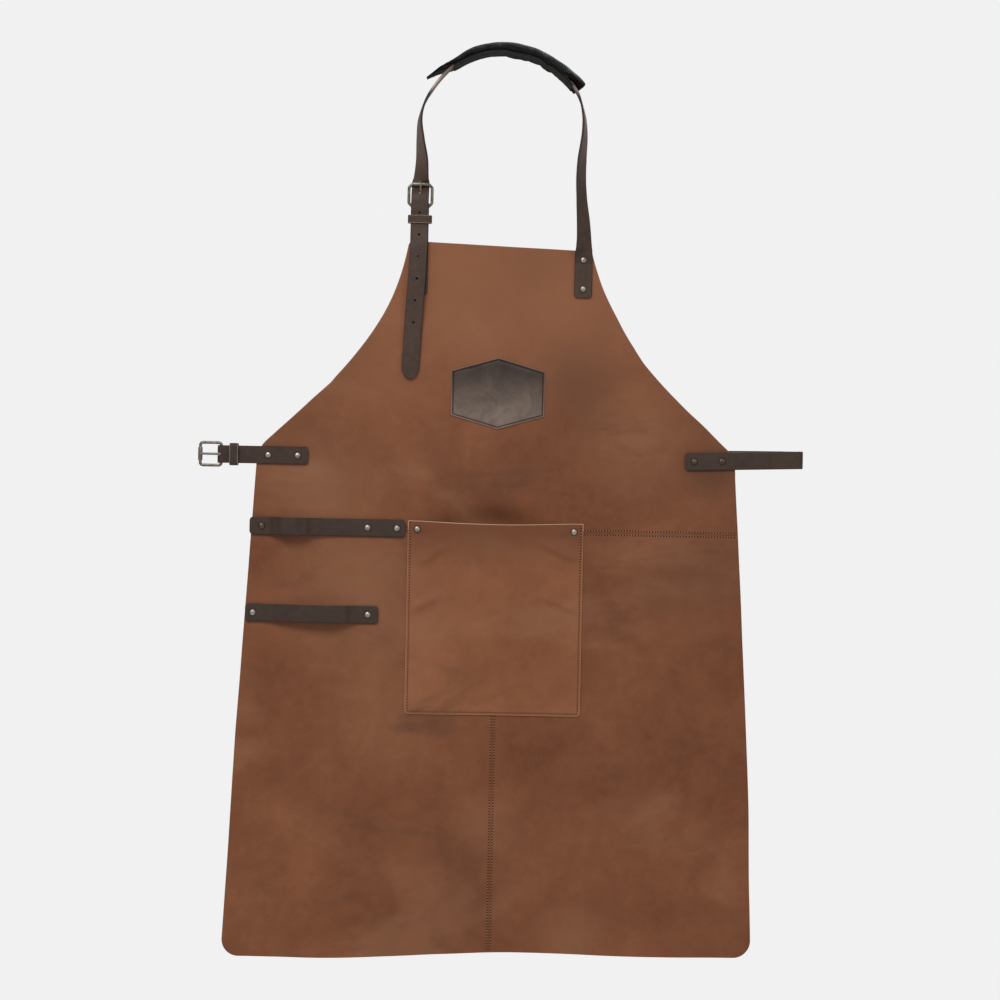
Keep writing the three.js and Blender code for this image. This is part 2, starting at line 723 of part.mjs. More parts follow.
// A keeper is a flat band bent into a rectangle, long enough in Y for every layer it holds.
function keeperBand(halfWidth, front, back, length) {
  const right = halfWidth + KEEPER_T;
  const low = front - KEEPER_T;
  const high = back + KEEPER_T;
  const outer = new THREE.Shape([
    new THREE.Vector2(-right + KEEPER_BEVEL, low),
    new THREE.Vector2(right - KEEPER_BEVEL, low),
    new THREE.Vector2(right, low + KEEPER_BEVEL),
    new THREE.Vector2(right, high - KEEPER_BEVEL),
    new THREE.Vector2(right - KEEPER_BEVEL, high),
    new THREE.Vector2(-right + KEEPER_BEVEL, high),
    new THREE.Vector2(-right, high - KEEPER_BEVEL),
    new THREE.Vector2(-right, low + KEEPER_BEVEL),
  ]);
  const inner = new THREE.Path([
    new THREE.Vector2(-halfWidth, front),
    new THREE.Vector2(-halfWidth, back),
    new THREE.Vector2(halfWidth, back),
    new THREE.Vector2(halfWidth, front),
  ]);
  outer.holes.push(inner);
  const band = new THREE.ExtrudeGeometry(outer, { depth: length, bevelEnabled: false });
  band.translate(0, 0, -length / 2);
  return band;
}

const KEEPER_BACK_Y = BACK_LAYER_Y + STRAP_T / 2 + 2 * GAP;
const neckKeeper = keeperBand(11.8, TAIL_Y - STRAP_T / 2 - GAP, KEEPER_BACK_Y, 9);
neckKeeper.translate(BUCKLE_X, 0, NECK_KEEPER_Z);
addPart('neck_keeper', neckKeeper, strapLeather);

const INCOMING_ROOM = 4.6;
const waistKeeper = keeperBand(10.8, STRAP_Y - STRAP_T / 2 - INCOMING_ROOM, KEEPER_BACK_Y, 9.6);
waistKeeper.rotateY(Math.PI / 2);
waistKeeper.translate(LEFT_KEEPER_X, 0, WAIST_Z);
addPart('waist_keeper', waistKeeper, strapLeather);

// ---------------------------------------------------------------- waist straps

const leftTab = strap(spline([[LEFT_HINGE_X, STRAP_Y, WAIST_Z], [-240, STRAP_Y, WAIST_Z],
  [LEFT_END_X, STRAP_Y, WAIST_Z]]), 12, ACROSS_Z, { start: 'halfRound', end: 'corners' });
addPart('waist_tab_left', cut(leftTab, drillsAt(leftRivets)), strapLeather);

const waistLoop = loopedStrap((d, y) => [LEFT_HEEL_X + d, y, WAIST_Z],
  LEFT_HINGE_X - LEFT_HEEL_X - HINGE_CLEAR, 28, ACROSS_Z, { start: 'square' });
const waistNotch = boxCutter(11, 12, 3.6, LEFT_HEEL_X - 2, HEEL_Y, WAIST_Z);
addPart('waist_strap_left', cut(waistLoop, [waistNotch]), strapLeather);

const rightTab = strap(spline([[RIGHT_END_X, STRAP_Y, rightStrapZ(RIGHT_END_X)],
  [250, STRAP_Y, rightStrapZ(250)], [RIGHT_HINGE_X, STRAP_Y, rightStrapZ(RIGHT_HINGE_X)]]), 12, ACROSS_Z,
{ start: 'corners', end: 'halfRound' });
addPart('waist_tab_right', cut(rightTab, drillsAt(rightRivets)), strapLeather);

// Outer stretch up to the fold, and the long stretch folded back behind the apron.
const outerStart = RIGHT_HINGE_X + HINGE_CLEAR;
const outerStretch = strap(spline([[outerStart, STRAP_Y, rightStrapZ(outerStart)],
  [310, STRAP_Y, rightStrapZ(310)], [RIGHT_FOLD_X - GAP, STRAP_Y, rightStrapZ(RIGHT_FOLD_X)]]), 20, ACROSS_Z);
addPart('waist_strap_outer', outerStretch, strapLeather);

const foldedRoute = rowsBetween(0, 1, 8).map((part) => [
  RIGHT_FOLD_X - GAP - part * RIGHT_STRAP_LENGTH,
  FOLDED_STRAP_Y,
  rightStrapZ(RIGHT_FOLD_X) - RIGHT_STRAP_SAG * part ** 2,
]);
const foldedCurve = spline(foldedRoute);
const foldedHoles = [0, 1, 2, 3, 4, 5, 6].map((i) => {
  const p = foldedCurve.getPointAt(1 - (60 + i * HOLE_PITCH) / RIGHT_STRAP_LENGTH);
  return drill(p.x, p.z, HOLE_R);
});
addPart('waist_strap_folded', cut(strap(foldedCurve, 35, ACROSS_Z, { end: 'point' }), foldedHoles),
  strapLeather);

// The right strap rises slightly towards the fold.
function rightStrapZ(x) {
  return -462.5 + (x - RIGHT_END_X) * 0.033;
}

// ---------------------------------------------------------------- tool straps

const FLAT_AT_RIVET = 9;
const TOOL_STRAP_Y = BIB_FRONT_Y - CURVED_GAP - STRAP_T / 2;

for (const { name, z, left, right, rivets, bulge } of TOOL_STRAPS) {
  const loopStart = rivets[0] + FLAT_AT_RIVET;
  const loopEnd = rivets[1] - FLAT_AT_RIVET;
  const points = rowsBetween(left, right, 26).map((x) => {
    const part = THREE.MathUtils.clamp((x - loopStart) / (loopEnd - loopStart), 0, 1);
    const stand = bulge * Math.sin(Math.PI * part) ** 1.4;
    return [x, drape(x, z) + TOOL_STRAP_Y - stand, z];
  });
  const toolStrap = strap(spline(points), 7, ACROSS_Z, { end: 'corners' });
  addPart(`tool_strap_${name}`, cut(toolStrap, drillsAt(rivets.map((x) => [x, z]))), strapLeather);
}

// ---------------------------------------------------------------- rivets

// A rivet is a domed cap and a post with a matching back, through layers from frontY to backY.
function addRivet(name, x, z, frontY, backY) {
  const dome = [[3.8, 0], [CAP_R, 0.4], [2.7, 1.4], [0, 1.8]];
  const cap = [...dome.map(([r, h]) => new THREE.Vector2(r, -h)).reverse(), new THREE.Vector2(0, 0)];
  const grip = backY - frontY + 2 * GAP;
  const post = [
    new THREE.Vector2(0, GAP),
    new THREE.Vector2(POST_R, GAP),
    new THREE.Vector2(POST_R, grip),
    ...dome.map(([r, h]) => new THREE.Vector2(r, grip + h)),
  ];
  for (const [piece, profile] of [['cap', cap], ['post', post]]) {
    const geometry = new THREE.LatheGeometry(profile, 10);
    const slope = (drape(x + 1, z) - drape(x - 1, z)) / 2;
    geometry.rotateZ(-Math.atan(slope));
    geometry.translate(x, drape(x, z) + frontY - GAP, z);
    addPart(`${name}_${piece}`, geometry, nickel);
  }
}

const strapFront = STRAP_Y - STRAP_T / 2;
const toolStrapFront = TOOL_STRAP_Y - STRAP_T / 2;
const pocketFront = BIB_FRONT_Y - CURVED_GAP - POCKET_T;
const panelBack = PANEL_T / 2;
const seamBack = panelBack + PANEL_T;
const rivetRows = [
  ['neck_right_rivet', neckRivets.filter(([x]) => x > 0), strapFront, panelBack],
  ['neck_left_rivet', neckRivets.filter(([x]) => x < 0), strapFront, panelBack],
  ['waist_left_rivet', leftRivets, strapFront, panelBack],
  ['waist_right_rivet', rightRivets, strapFront, panelBack],
  ['tool_upper_rivet', toolRivets[0], toolStrapFront, seamBack],
  ['tool_lower_rivet', toolRivets[1], toolStrapFront, panelBack],
  ['pocket_rivet', pocketRivets, pocketFront, seamBack],
];
for (const [name, places, frontY, backY] of rivetRows) {
  places.forEach(([x, z], i) => addRivet(`${name}_${i + 1}`, x, z, frontY, backY));
}

export default group;
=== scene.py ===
"""A leather work apron hanging by its neck loop, in a pale studio.

Everything is in metres in the CAD model's frame: +Z up, the apron's front faces -Y, and the origin is
on the underside of the neck pad, where a hook carries it.
"""

import math
import random

import bmesh
import bpy
from mathutils import Matrix, Vector, noise


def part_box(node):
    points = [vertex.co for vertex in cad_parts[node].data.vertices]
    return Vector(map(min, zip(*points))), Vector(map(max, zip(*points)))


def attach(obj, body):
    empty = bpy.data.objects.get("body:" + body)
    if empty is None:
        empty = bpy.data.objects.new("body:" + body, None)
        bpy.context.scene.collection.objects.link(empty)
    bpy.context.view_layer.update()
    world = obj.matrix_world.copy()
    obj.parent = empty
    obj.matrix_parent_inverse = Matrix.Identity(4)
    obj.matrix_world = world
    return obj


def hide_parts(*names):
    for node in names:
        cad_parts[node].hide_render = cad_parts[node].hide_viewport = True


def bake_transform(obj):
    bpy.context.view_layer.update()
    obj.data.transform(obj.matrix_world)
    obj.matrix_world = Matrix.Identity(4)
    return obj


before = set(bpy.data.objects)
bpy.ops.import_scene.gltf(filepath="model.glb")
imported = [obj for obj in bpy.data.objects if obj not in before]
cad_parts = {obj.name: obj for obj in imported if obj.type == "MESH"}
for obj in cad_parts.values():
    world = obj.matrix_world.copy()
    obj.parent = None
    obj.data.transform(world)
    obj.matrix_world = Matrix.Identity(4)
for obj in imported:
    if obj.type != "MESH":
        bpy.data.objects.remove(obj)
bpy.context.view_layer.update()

MM = 0.001
X = Vector((1, 0, 0))
Y = Vector((0, 1, 0))
Z = Vector((0, 0, 1))

# ------------------------------------------------------------------ sizes, in millimetres

PANEL_T = 1.6
POCKET_T = 1.4
BADGE_T = 2.0
STRAP_W = 20.0
STRAP_T = 2.6
WIRE_R = 1.5
FRAME_R = 1.68
ROLLER_R = 2.5
STITCH_PITCH = 3.2
BADGE_STITCH_PITCH = 2.7

BIB_TOP_Z = -220.0
BIB_EDGE_Z = BIB_TOP_Z - 4
BIB_HALF = 103.0
WAIST_HALF = 272.5
HEM_HALF = 301.0
HEM_Z = -1026.0
HEM_CORNER = 19.0
HEM_SAG = 9.0
SEAM_Z = -545.3
SEAM_X = 3.0
SEAM_TURNING = 9.0

LAYER_GAP = 0.3
TOOL_STRAP_GAP = 0.5
FRONT_Y = -PANEL_T / 2
STRAP_Y = FRONT_Y - LAYER_GAP - STRAP_T / 2
BACK_LAYER_Y = STRAP_Y + STRAP_T + LAYER_GAP
TAIL_Y = STRAP_Y - STRAP_T - LAYER_GAP
TOOL_STRAP_Y = FRONT_Y - TOOL_STRAP_GAP - STRAP_T / 2
HEEL_BEND_R = WIRE_R + LAYER_GAP + STRAP_T / 2
HEEL_Y = STRAP_Y + HEEL_BEND_R
FOLDED_STRAP_Y = 6.0

POCKET_BULGE = 10.0
POCKET_EDGE_STITCH = 3.0
BADGE_EDGE_STITCH = 2.3


def middle(node):
    """The middle of a CAD node's box, in millimetres."""
    low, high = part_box(node)
    return [(a + b) / 2 / MM for a, b in zip(low, high)]


def extent(node):
    """The low and high corners of a CAD node's box, in millimetres."""
    low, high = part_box(node)
    return [a / MM for a in low], [a / MM for a in high]


# ------------------------------------------------------------------ small maths

def clamp(value, low=0.0, high=1.0):
    return max(low, min(high, value))


def smoothstep(start, end, value):
    t = clamp((value - start) / (end - start))
    return t * t * (3 - 2 * t)


def lerp(a, b, t):
    return a + (b - a) * t


def steps(a, b, count):
    return [lerp(a, b, i / count) for i in range(count + 1)]


def circle(count):
    """The (cosine, sine) of `count` angles round a circle."""
    return [(math.cos(a), math.sin(a)) for a in steps(0, 2 * math.pi, count)[:-1]]


def along_table(table, x):
    """A value between a table's (x, value) rows, whose x falls from row to row."""
    if x >= table[0][0]:
        return table[0][1]
    for (a, va), (b, vb) in zip(table, table[1:]):
        if x > b:
            part = (a - x) / (a - b)
            return lerp(va, vb, (smoothstep(0, 1, part) + part) / 2)
    return table[-1][1]


def catmull(points, spacing):
    """Points about `spacing` apart on a centripetal Catmull-Rom curve through the given ones."""
    knots = [Vector(p) for p in points]
    knots = [knots[0] * 2 - knots[1]] + knots + [knots[-1] * 2 - knots[-2]]
    out = []
    for i in range(1, len(knots) - 2):
        p0, p1, p2, p3 = knots[i - 1:i + 3]
        t1 = max((p1 - p0).length ** 0.5, 1e-6)
        t2 = t1 + max((p2 - p1).length ** 0.5, 1e-6)
        t3 = t2 + max((p3 - p2).length ** 0.5, 1e-6)
        count = max(2, round((p2 - p1).length / spacing))
        for k in range(count):
            t = lerp(t1, t2, k / count)
            a1 = p0 * ((t1 - t) / t1) + p1 * (t / t1)
            a2 = p1 * ((t2 - t) / (t2 - t1)) + p2 * ((t - t1) / (t2 - t1))
            a3 = p2 * ((t3 - t) / (t3 - t2)) + p3 * ((t - t2) / (t3 - t2))
            b1 = a1 * ((t2 - t) / t2) + a2 * (t / t2)
            b2 = a2 * ((t3 - t) / (t3 - t1)) + a3 * ((t - t1) / (t3 - t1))
            out.append(b1 * ((t2 - t) / (t2 - t1)) + b2 * ((t - t1) / (t2 - t1)))
    out.append(knots[-2].copy())
    return out


def bezier(points, count):
    """Points on a Bezier curve of any degree, in two or three dimensions."""
    out = []
    for t in steps(0, 1, count):
        level = [Vector(p) for p in points]
        while len(level) > 1:
            level = [a.lerp(b, t) for a, b in zip(level, level[1:])]
        out.append(level[0])
    return out


# ------------------------------------------------------------------ the apron's cut and hang

edge_line = bezier([(BIB_HALF, BIB_EDGE_Z), (115, -290), (148, -350), (262, -449)], 60)
edge_line += bezier([(262, -449), (272, -459), (WAIST_HALF, -480)], 12)[1:]
edge_line += [Vector((WAIST_HALF, -480.1)), Vector((HEM_HALF, HEM_Z + HEM_CORNER))]


def half_width(z):
    """Half the apron's width at a height."""
    if z > BIB_EDGE_Z:
        return BIB_HALF - (z - BIB_EDGE_Z) * 0.8
    if z < HEM_Z + HEM_CORNER:
        down = min(HEM_Z + HEM_CORNER - z, HEM_CORNER)
        return HEM_HALF - HEM_CORNER + math.sqrt(HEM_CORNER ** 2 - down ** 2)
    for above, below in zip(edge_line, edge_line[1:]):
        if below.y <= z:
            return lerp(above.x, below.x, (z - above.y) / (below.y - above.y))
    return HEM_HALF


def rivet_places():
    """Where rivets hold the leather, as (x, z)."""
    caps = [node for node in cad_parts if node.endswith("_cap")]
    return [(middle(node)[0], middle(node)[2]) for node in caps]


RIVETED = rivet_places()
WAVE_CALM_R = 34.0
BROAD_WAVE = 4.2
SMALL_WAVE = 0.9
FLUTE_DEPTH = 4
FLUTE_WIDTH = 290
CURL_DEPTH = 11
HEM_CORNER_SAG = 2.6


def hide_wave(x, z):
    """Slow unevenness of the hanging leather, which dies out where something is riveted to it."""
    broad = BROAD_WAVE * noise.noise(Vector((x / 78, z / 96, 3.0)))
    small = SMALL_WAVE * noise.noise(Vector((x / 30, z / 36, 15.0)))
    calm = 1.0
    for rivet_x, rivet_z in RIVETED:
        calm *= 1 - math.exp(-((x - rivet_x) ** 2 + (z - rivet_z) ** 2) / WAVE_CALM_R ** 2)
    return (broad + small) * calm


def drape(x, z):
    """How far the leather's middle stands from the plane Y = 0."""
    fall = smoothstep(-470, HEM_Z, z)
    flute = FLUTE_DEPTH * fall * math.sin((x + 40) / FLUTE_WIDTH * 2 * math.pi)
    curl = CURL_DEPTH * smoothstep(-440, -1000, z) * smoothstep(120, 300, abs(x))
    return flute + curl + hide_wave(x, z)


# How much wider than its cut the leather hangs at its two edges, by height.
LEFT_SPREAD = [(-220, -0.6), (-370, -0.9), (-400, 2.2), (-430, 2.2), (-470, 0), (-590, 0.6), (-700, 1.4),
               (-780, 2.3), (-900, 1.8), (-1030, 1.1)]
RIGHT_SPREAD = [(-220, 3.2), (-250, 5.0), (-300, 6.0), (-330, 4.6), (-352, 2.6), (-375, 3.2), (-400, 4.0),
                (-422, 5.4), (-447, 3.4), (-480, 1.3), (-560, 2.3), (-650, 3.4), (-740, 4.4), (-850, 4.6),
                (-960, 2.3), (-1030, 1.1)]


def hung(x, z):
    """Where the cut position (x, z) hangs: spread at the edges, and sloping along the bib's top."""
    share = abs(x) / half_width(z)
    spread_by = along_table(RIGHT_SPREAD if x > 0 else LEFT_SPREAD, z) * min(share, 1) ** 2
    slope = (-0.04 * x - 0.8) * smoothstep(-300, -224, z)
    return x + math.copysign(spread_by, x), z - hem_sag(x, z) + slope


def hem_sag(x, z):
    """The hem hangs lower towards the left, and a little lower at its two corners than in its middle."""
    side = HEM_SAG * smoothstep(40, -220, x) + HEM_CORNER_SAG * smoothstep(60, 260, abs(x))
    return side * smoothstep(-700, HEM_Z, z)


# ------------------------------------------------------------------ materials


class Shader:
    """A material's node tree, built a node at a time."""

    def __init__(self, name, roughness, specular=0.4, metallic=0.0):
        self.material = bpy.data.materials.new(name)
        self.material.use_nodes = True
        self.tree = self.material.node_tree
        self.surface = self.tree.nodes["Principled BSDF"]
        self.surface.inputs["Roughness"].default_value = roughness
        self.surface.inputs["Specular IOR Level"].default_value = specular
        self.surface.inputs["Metallic"].default_value = metallic
        self.coords = self.tree.nodes.new("ShaderNodeTexCoord").outputs["Object"]

    def link(self, output, target):
        self.tree.links.new(output, target)

    def noise(self, scale, detail=4.0, rough=0.55, distortion=0.0, stretch=None):
        node = self.tree.nodes.new("ShaderNodeTexNoise")
        node.inputs["Scale"].default_value = scale
        node.inputs["Detail"].default_value = detail
        node.inputs["Roughness"].default_value = rough
        node.inputs["Distortion"].default_value = distortion
        self.link(self.stretched(stretch), node.inputs["Vector"])
        return node.outputs["Fac"]

    def stretched(self, stretch):
        if stretch is None:
            return self.coords
        mapping = self.tree.nodes.new("ShaderNodeMapping")
        mapping.inputs["Scale"].default_value = stretch
        self.link(self.coords, mapping.inputs["Vector"])
        return mapping.outputs["Vector"]

    def cells(self, scale):
        node = self.tree.nodes.new("ShaderNodeTexVoronoi")
        node.feature = "DISTANCE_TO_EDGE"
        node.inputs["Scale"].default_value = scale
        self.link(self.coords, node.inputs["Vector"])
        return node.outputs["Distance"]

    def ramp(self, value, low, high, out_low=0.0, out_high=1.0):
        node = self.tree.nodes.new("ShaderNodeMapRange")
        node.interpolation_type = "SMOOTHSTEP"
        node.inputs["From Min"].default_value = low
        node.inputs["From Max"].default_value = high
        node.inputs["To Min"].default_value = out_low
        node.inputs["To Max"].default_value = out_high
        self.link(value, node.inputs["Value"])
        return node.outputs["Result"]

    def patches(self, places):
        """Adds up soft round patches, each (x, z, radius, share), in metres."""
        total = 0.0
        for x, z, radius, share in places:
            node = self.tree.nodes.new("ShaderNodeVectorMath")
            node.operation = "DISTANCE"
            self.link(self.coords, node.inputs[0])
            node.inputs[1].default_value = (x, 0, z)
            total = self.maths("ADD", total, self.ramp(node.outputs["Value"], radius, 0, 0, share))
        return total

    def height(self):
        node = self.tree.nodes.new("ShaderNodeSeparateXYZ")
        self.link(self.coords, node.inputs["Vector"])
        return node.outputs["Z"]

    def mix(self, factor, a, b):
        """Mixes two colours; each is an RGB tuple or a colour output."""
        node = self.tree.nodes.new("ShaderNodeMix")
        node.data_type = "RGBA"
        for value, socket in ((a, node.inputs[6]), (b, node.inputs[7])):
            if isinstance(value, tuple):
                socket.default_value = (*value, 1)
            else:
                self.link(value, socket)
        self.link(factor, node.inputs[0])
        return node.outputs[2]

    def maths(self, operation, a, b):
        node = self.tree.nodes.new("ShaderNodeMath")
        node.operation = operation
        for value, socket in ((a, node.inputs[0]), (b, node.inputs[1])):
            if isinstance(value, (int, float)):
                socket.default_value = value
            else:
                self.link(value, socket)
        return node.outputs[0]

    def bump(self, layers):
        """Stacks (height output, distance in millimetres) layers of bump."""
        normal = None
        for value, distance in layers:
            node = self.tree.nodes.new("ShaderNodeBump")
            node.inputs["Distance"].default_value = distance * MM
            self.link(value, node.inputs["Height"])
            if normal is not None:
                self.link(normal, node.inputs["Normal"])
            normal = node.outputs["Normal"]
        self.link(normal, self.surface.inputs["Normal"])

    def finish(self, color, roughness=None):
        self.link(color, self.surface.inputs["Base Color"])
        if roughness is not None:
            self.link(roughness, self.surface.inputs["Roughness"])
        return self.material


def srgb(red, green, blue):
    """A linear colour from an 8-bit sRGB one."""
    return tuple(
        c / 12.92 if c <= 0.04045 else ((c + 0.055) / 1.055) ** 2.4
        for c in (red / 255, green / 255, blue / 255)
    )


# ---- brown pull-up leather: grain, uneven dye, lighter where it has been bent and handled, with painted light and painted shade in soft patches and a painted lighter top on the bib

# Soft round patches painted paler and darker on the hide: partly its own uneven tone, partly painted light
# and painted shade, with a painted shadow above the pocket's mouth; each (x, z, radius, share), in metres.
PALE_TONE_AND_LIT_PATCHES = [(-0.205, -0.50, 0.10, 0.5), (-0.155, -0.62, 0.13, 0.5), (0.165, -0.44, 0.09, 0.5),
                (0.07, -0.285, 0.07, 0.45), (-0.02, -0.325, 0.06, 0.45), (-0.11, -0.76, 0.09, 0.25),
                (0.10, -1.01, 0.06, 0.4), (0, -0.885, 0.06, 0.3)]
DARK_TONE_AND_SHADED_PATCHES = [(0.09, -0.37, 0.07, 0.85), (0.04, -0.236, 0.045, 0.7), (0.245, -0.60, 0.10, 0.4),
                (0.25, -0.47, 0.06, 0.7), (-0.04, -0.98, 0.10, 0.2), (0, -0.50, 0.05, 0.2)]


def brown_leather(name, dark, light, band, band_z, band_share):
    """Clouded brown between dark and light, tinted towards band from the first to the second height."""
    shader = Shader(name, roughness=0.55, specular=0.2)
    wide = shader.ramp(shader.noise(4.2, 3, 0.5, 0.5), 0.34, 0.66)
    cloud = shader.ramp(shader.noise(13, 5, 0.6, 0.5), 0.3, 0.7)
    mottle = shader.ramp(shader.noise(70, 6, 0.65), 0.3, 0.75)
    tones = shader.maths("ADD", shader.maths("MULTIPLY", wide, 0.45), shader.maths("MULTIPLY", cloud, 0.3))
    tones = shader.maths("ADD", tones, shader.maths("MULTIPLY", mottle, 0.25))
    base = shader.mix(tones, dark, light)
    handled = shader.ramp(shader.noise(5.5, 4, 0.55, 0.8, stretch=(0.7, 1, 1.5)), 0.5, 0.72, 0, 0.45)
    # painted light: the pale patches lighten the hide together with its random handled tone
    pale_tone_and_light = shader.mix(shader.maths("ADD", handled, shader.patches(PALE_TONE_AND_LIT_PATCHES)), base, srgb(149, 103, 74))
    waxed = shader.ramp(shader.noise(8.5, 5, 0.6, 0.9, stretch=(0.6, 1, 1.3)), 0.55, 0.76, 0, 0.55)
    # painted shade: the dark patches darken the hide together with its random waxed tone, including a painted
    # shadow above the pocket's mouth
    dark_tone_and_shade = shader.mix(shader.maths("ADD", waxed, shader.patches(DARK_TONE_AND_SHADED_PATCHES)), pale_tone_and_light, srgb(88, 57, 40))
    banded = shader.mix(shader.ramp(shader.height(), *band_z, 0, band_share), dark_tone_and_shade, band)
    speck = shader.ramp(shader.noise(420, 3, 0.7), 0.62, 0.78, 0, 0.3)
    color = shader.mix(speck, banded, srgb(80, 44, 29))
    rough = shader.ramp(shader.noise(38, 4, 0.6), 0.25, 0.75, 0.44, 0.66)
    pebble = shader.ramp(shader.cells(620), 0.0, 0.09)
    crease = shader.noise(24, 6, 0.62, 0.7, stretch=(1, 1, 0.35))
    fine = shader.noise(900, 3, 0.6)
    shader.bump([(crease, 0.5), (pebble, 0.06), (fine, 0.05)])
    return shader.finish(color, rough)


# ---- the flesh side of the same leather, napped and dull

def suede(name, dark, light):
    shader = Shader(name, roughness=0.95, specular=0.12)
    shader.surface.inputs["Sheen Weight"].default_value = 0.25
    shader.surface.inputs["Sheen Roughness"].default_value = 0.6
    nap = shader.ramp(shader.noise(260, 6, 0.7, 0.6), 0.3, 0.72)
    cloud = shader.ramp(shader.noise(14, 4, 0.6), 0.3, 0.7)
    color = shader.mix(shader.maths("MULTIPLY", shader.maths("ADD", nap, cloud), 0.5), dark, light)
    shader.bump([(shader.noise(700, 4, 0.75), 0.25)])
    return shader.finish(color)


# ---- raw cut edge, paler than the faces

def cut_edge(name, dark, light, roughness=0.8):
    shader = Shader(name, roughness=roughness, specular=0.3)
    layers = shader.ramp(shader.noise(520, 4, 0.7), 0.3, 0.7)
    shader.bump([(shader.noise(1100, 3, 0.7), 0.1)])
    return shader.finish(shader.mix(layers, dark, light))


# ---- dark strap leather

def strap_leather():
    shader = Shader("strap_leather", roughness=0.52, specular=0.34)
    cloud = shader.ramp(shader.noise(26, 5, 0.62, 0.3), 0.3, 0.72)
    mottle = shader.ramp(shader.noise(160, 5, 0.68), 0.32, 0.72)
    low = shader.mix(mottle, srgb(59, 42, 32), srgb(69, 51, 40))
    high = shader.mix(mottle, srgb(68, 50, 39), srgb(78, 59, 46))
    below = shader.ramp(shader.height(), -0.38, -0.46, 0, 0.45)
    rough = shader.ramp(shader.noise(60, 4, 0.6), 0.25, 0.75, 0.42, 0.64)
    pebble = shader.ramp(shader.cells(850), 0.0, 0.07)
    shader.bump([(shader.noise(90, 5, 0.6), 0.25), (pebble, 0.05), (shader.noise(1000, 3, 0.6), 0.05)])
    # painted sheen: from this height up the strap turns pale and pinkish, standing in for grazing highlights
    # near the pad
    painted_sheen = shader.ramp(shader.height(), -0.155, -0.095, 0, 0.4)
    body = shader.mix(painted_sheen, shader.mix(cloud, low, high), srgb(138, 114, 104))
    return shader.finish(shader.mix(below, body, srgb(46, 32, 25)), rough)


def graded_edge(name, below, above, heights):
    """A cut edge that changes between two pairs of tones from the first height to the second."""
    shader = Shader(name, roughness=0.65, specular=0.3)
    fibres = shader.noise(520, 4, 0.7)
    shader.bump([(shader.noise(1100, 3, 0.7), 0.1)])
    share = shader.ramp(shader.height(), *heights)
    return shader.finish(shader.mix(share, shader.mix(fibres, *below), shader.mix(fibres, *above)))


# ---- badge: glossier leather, dark at its top and palest along its lower edge, which is a painted reflection

def badge_leather():
    shader = Shader("badge_leather", roughness=0.4, specular=0.35)
    low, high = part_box("badge_patch")
    # painted reflection: the face grows paler from its top down to its lower edge
    down = shader.ramp(shader.height(), high[2], low[2])
    patch = shader.ramp(shader.noise(30, 6, 0.65, 0.8), 0.3, 0.72)
    dark = shader.mix(patch, srgb(44, 31, 25), srgb(62, 47, 39))
    pale = shader.mix(patch, srgb(102, 86, 75), srgb(132, 115, 103))
    rough = shader.ramp(shader.noise(44, 4, 0.6), 0.25, 0.75, 0.3, 0.5)
    pebble = shader.ramp(shader.cells(780), 0.0, 0.08)
    shader.bump([(shader.noise(34, 5, 0.6, 0.6), 0.35), (pebble, 0.05)])
    return shader.finish(shader.mix(down, dark, pale), rough)


# ---- soft black leather of the neck pad, and its lining

def pad_leather():
    shader = Shader("pad_leather", roughness=0.6, specular=0.12)
    cloud = shader.ramp(shader.noise(40, 5, 0.6), 0.3, 0.7)
    color = shader.mix(cloud, srgb(6, 7, 6), srgb(15, 16, 14))
    rough = shader.ramp(shader.noise(70, 5, 0.65), 0.3, 0.7, 0.5, 0.7)
    pebble = shader.ramp(shader.cells(560), 0.0, 0.1)
    wrinkle = shader.noise(55, 6, 0.65, 1.1)
    shader.bump([(wrinkle, 0.8), (pebble, 0.1)])
    return shader.finish(color, rough)


def lining_leather():
    shader = Shader("pad_lining", roughness=0.7, specular=0.15)
    cloud = shader.ramp(shader.noise(60, 5, 0.65), 0.3, 0.7)
    color = shader.mix(cloud, srgb(6, 5, 4), srgb(27, 21, 17))
    wrinkle = shader.noise(95, 6, 0.7, 1.4)
    shader.bump([(wrinkle, 1.1), (shader.noise(600, 4, 0.7), 0.12)])
    return shader.finish(color)


# ---- antique nickel of buckles and rivets

def nickel(name, bright, tarnished):
    shader = Shader(name, roughness=0.4, metallic=1.0)
    tarnish = shader.ramp(shader.noise(220, 6, 0.7, 0.3), 0.35, 0.7)
    color = shader.mix(tarnish, bright, tarnished)
    rough = shader.ramp(shader.noise(160, 5, 0.65), 0.3, 0.7, 0.34, 0.56)
    shader.bump([(shader.noise(500, 4, 0.7), 0.04)])
    return shader.finish(color, rough)


# Darker nickel for a rivet's groove, rim, post and back: partly tarnish, partly painted shadow round the
# cap's foot where it meets the leather.
def tarnish_and_shade_nickel():
    shader = Shader("nickel_tarnish_and_painted_shade", roughness=0.5, metallic=1.0)
    tarnish = shader.ramp(shader.noise(260, 5, 0.7), 0.35, 0.7)
    shader.bump([(shader.noise(600, 3, 0.7), 0.04)])
    return shader.finish(shader.mix(tarnish, srgb(72, 64, 56), srgb(44, 38, 33)))


def thread(name, dark, light):
    shader = Shader(name, roughness=0.6, specular=0.3)
    twist = shader.ramp(shader.noise(900, 3, 0.6), 0.3, 0.7)
    shader.bump([(shader.noise(1600, 2, 0.6), 0.06)])
    return shader.finish(shader.mix(twist, dark, light))


# painted shade: a needle mark is only a shallow dimple, coloured near-black to stand in for the shade inside
# a needle hole
def needle_hole_painted_shade():
    shader = Shader("needle_hole_painted_shade", roughness=0.9, specular=0.1)
    fibre = shader.noise(1200, 2, 0.6)
    return shader.finish(shader.mix(fibre, srgb(34, 19, 12), srgb(52, 31, 20)))


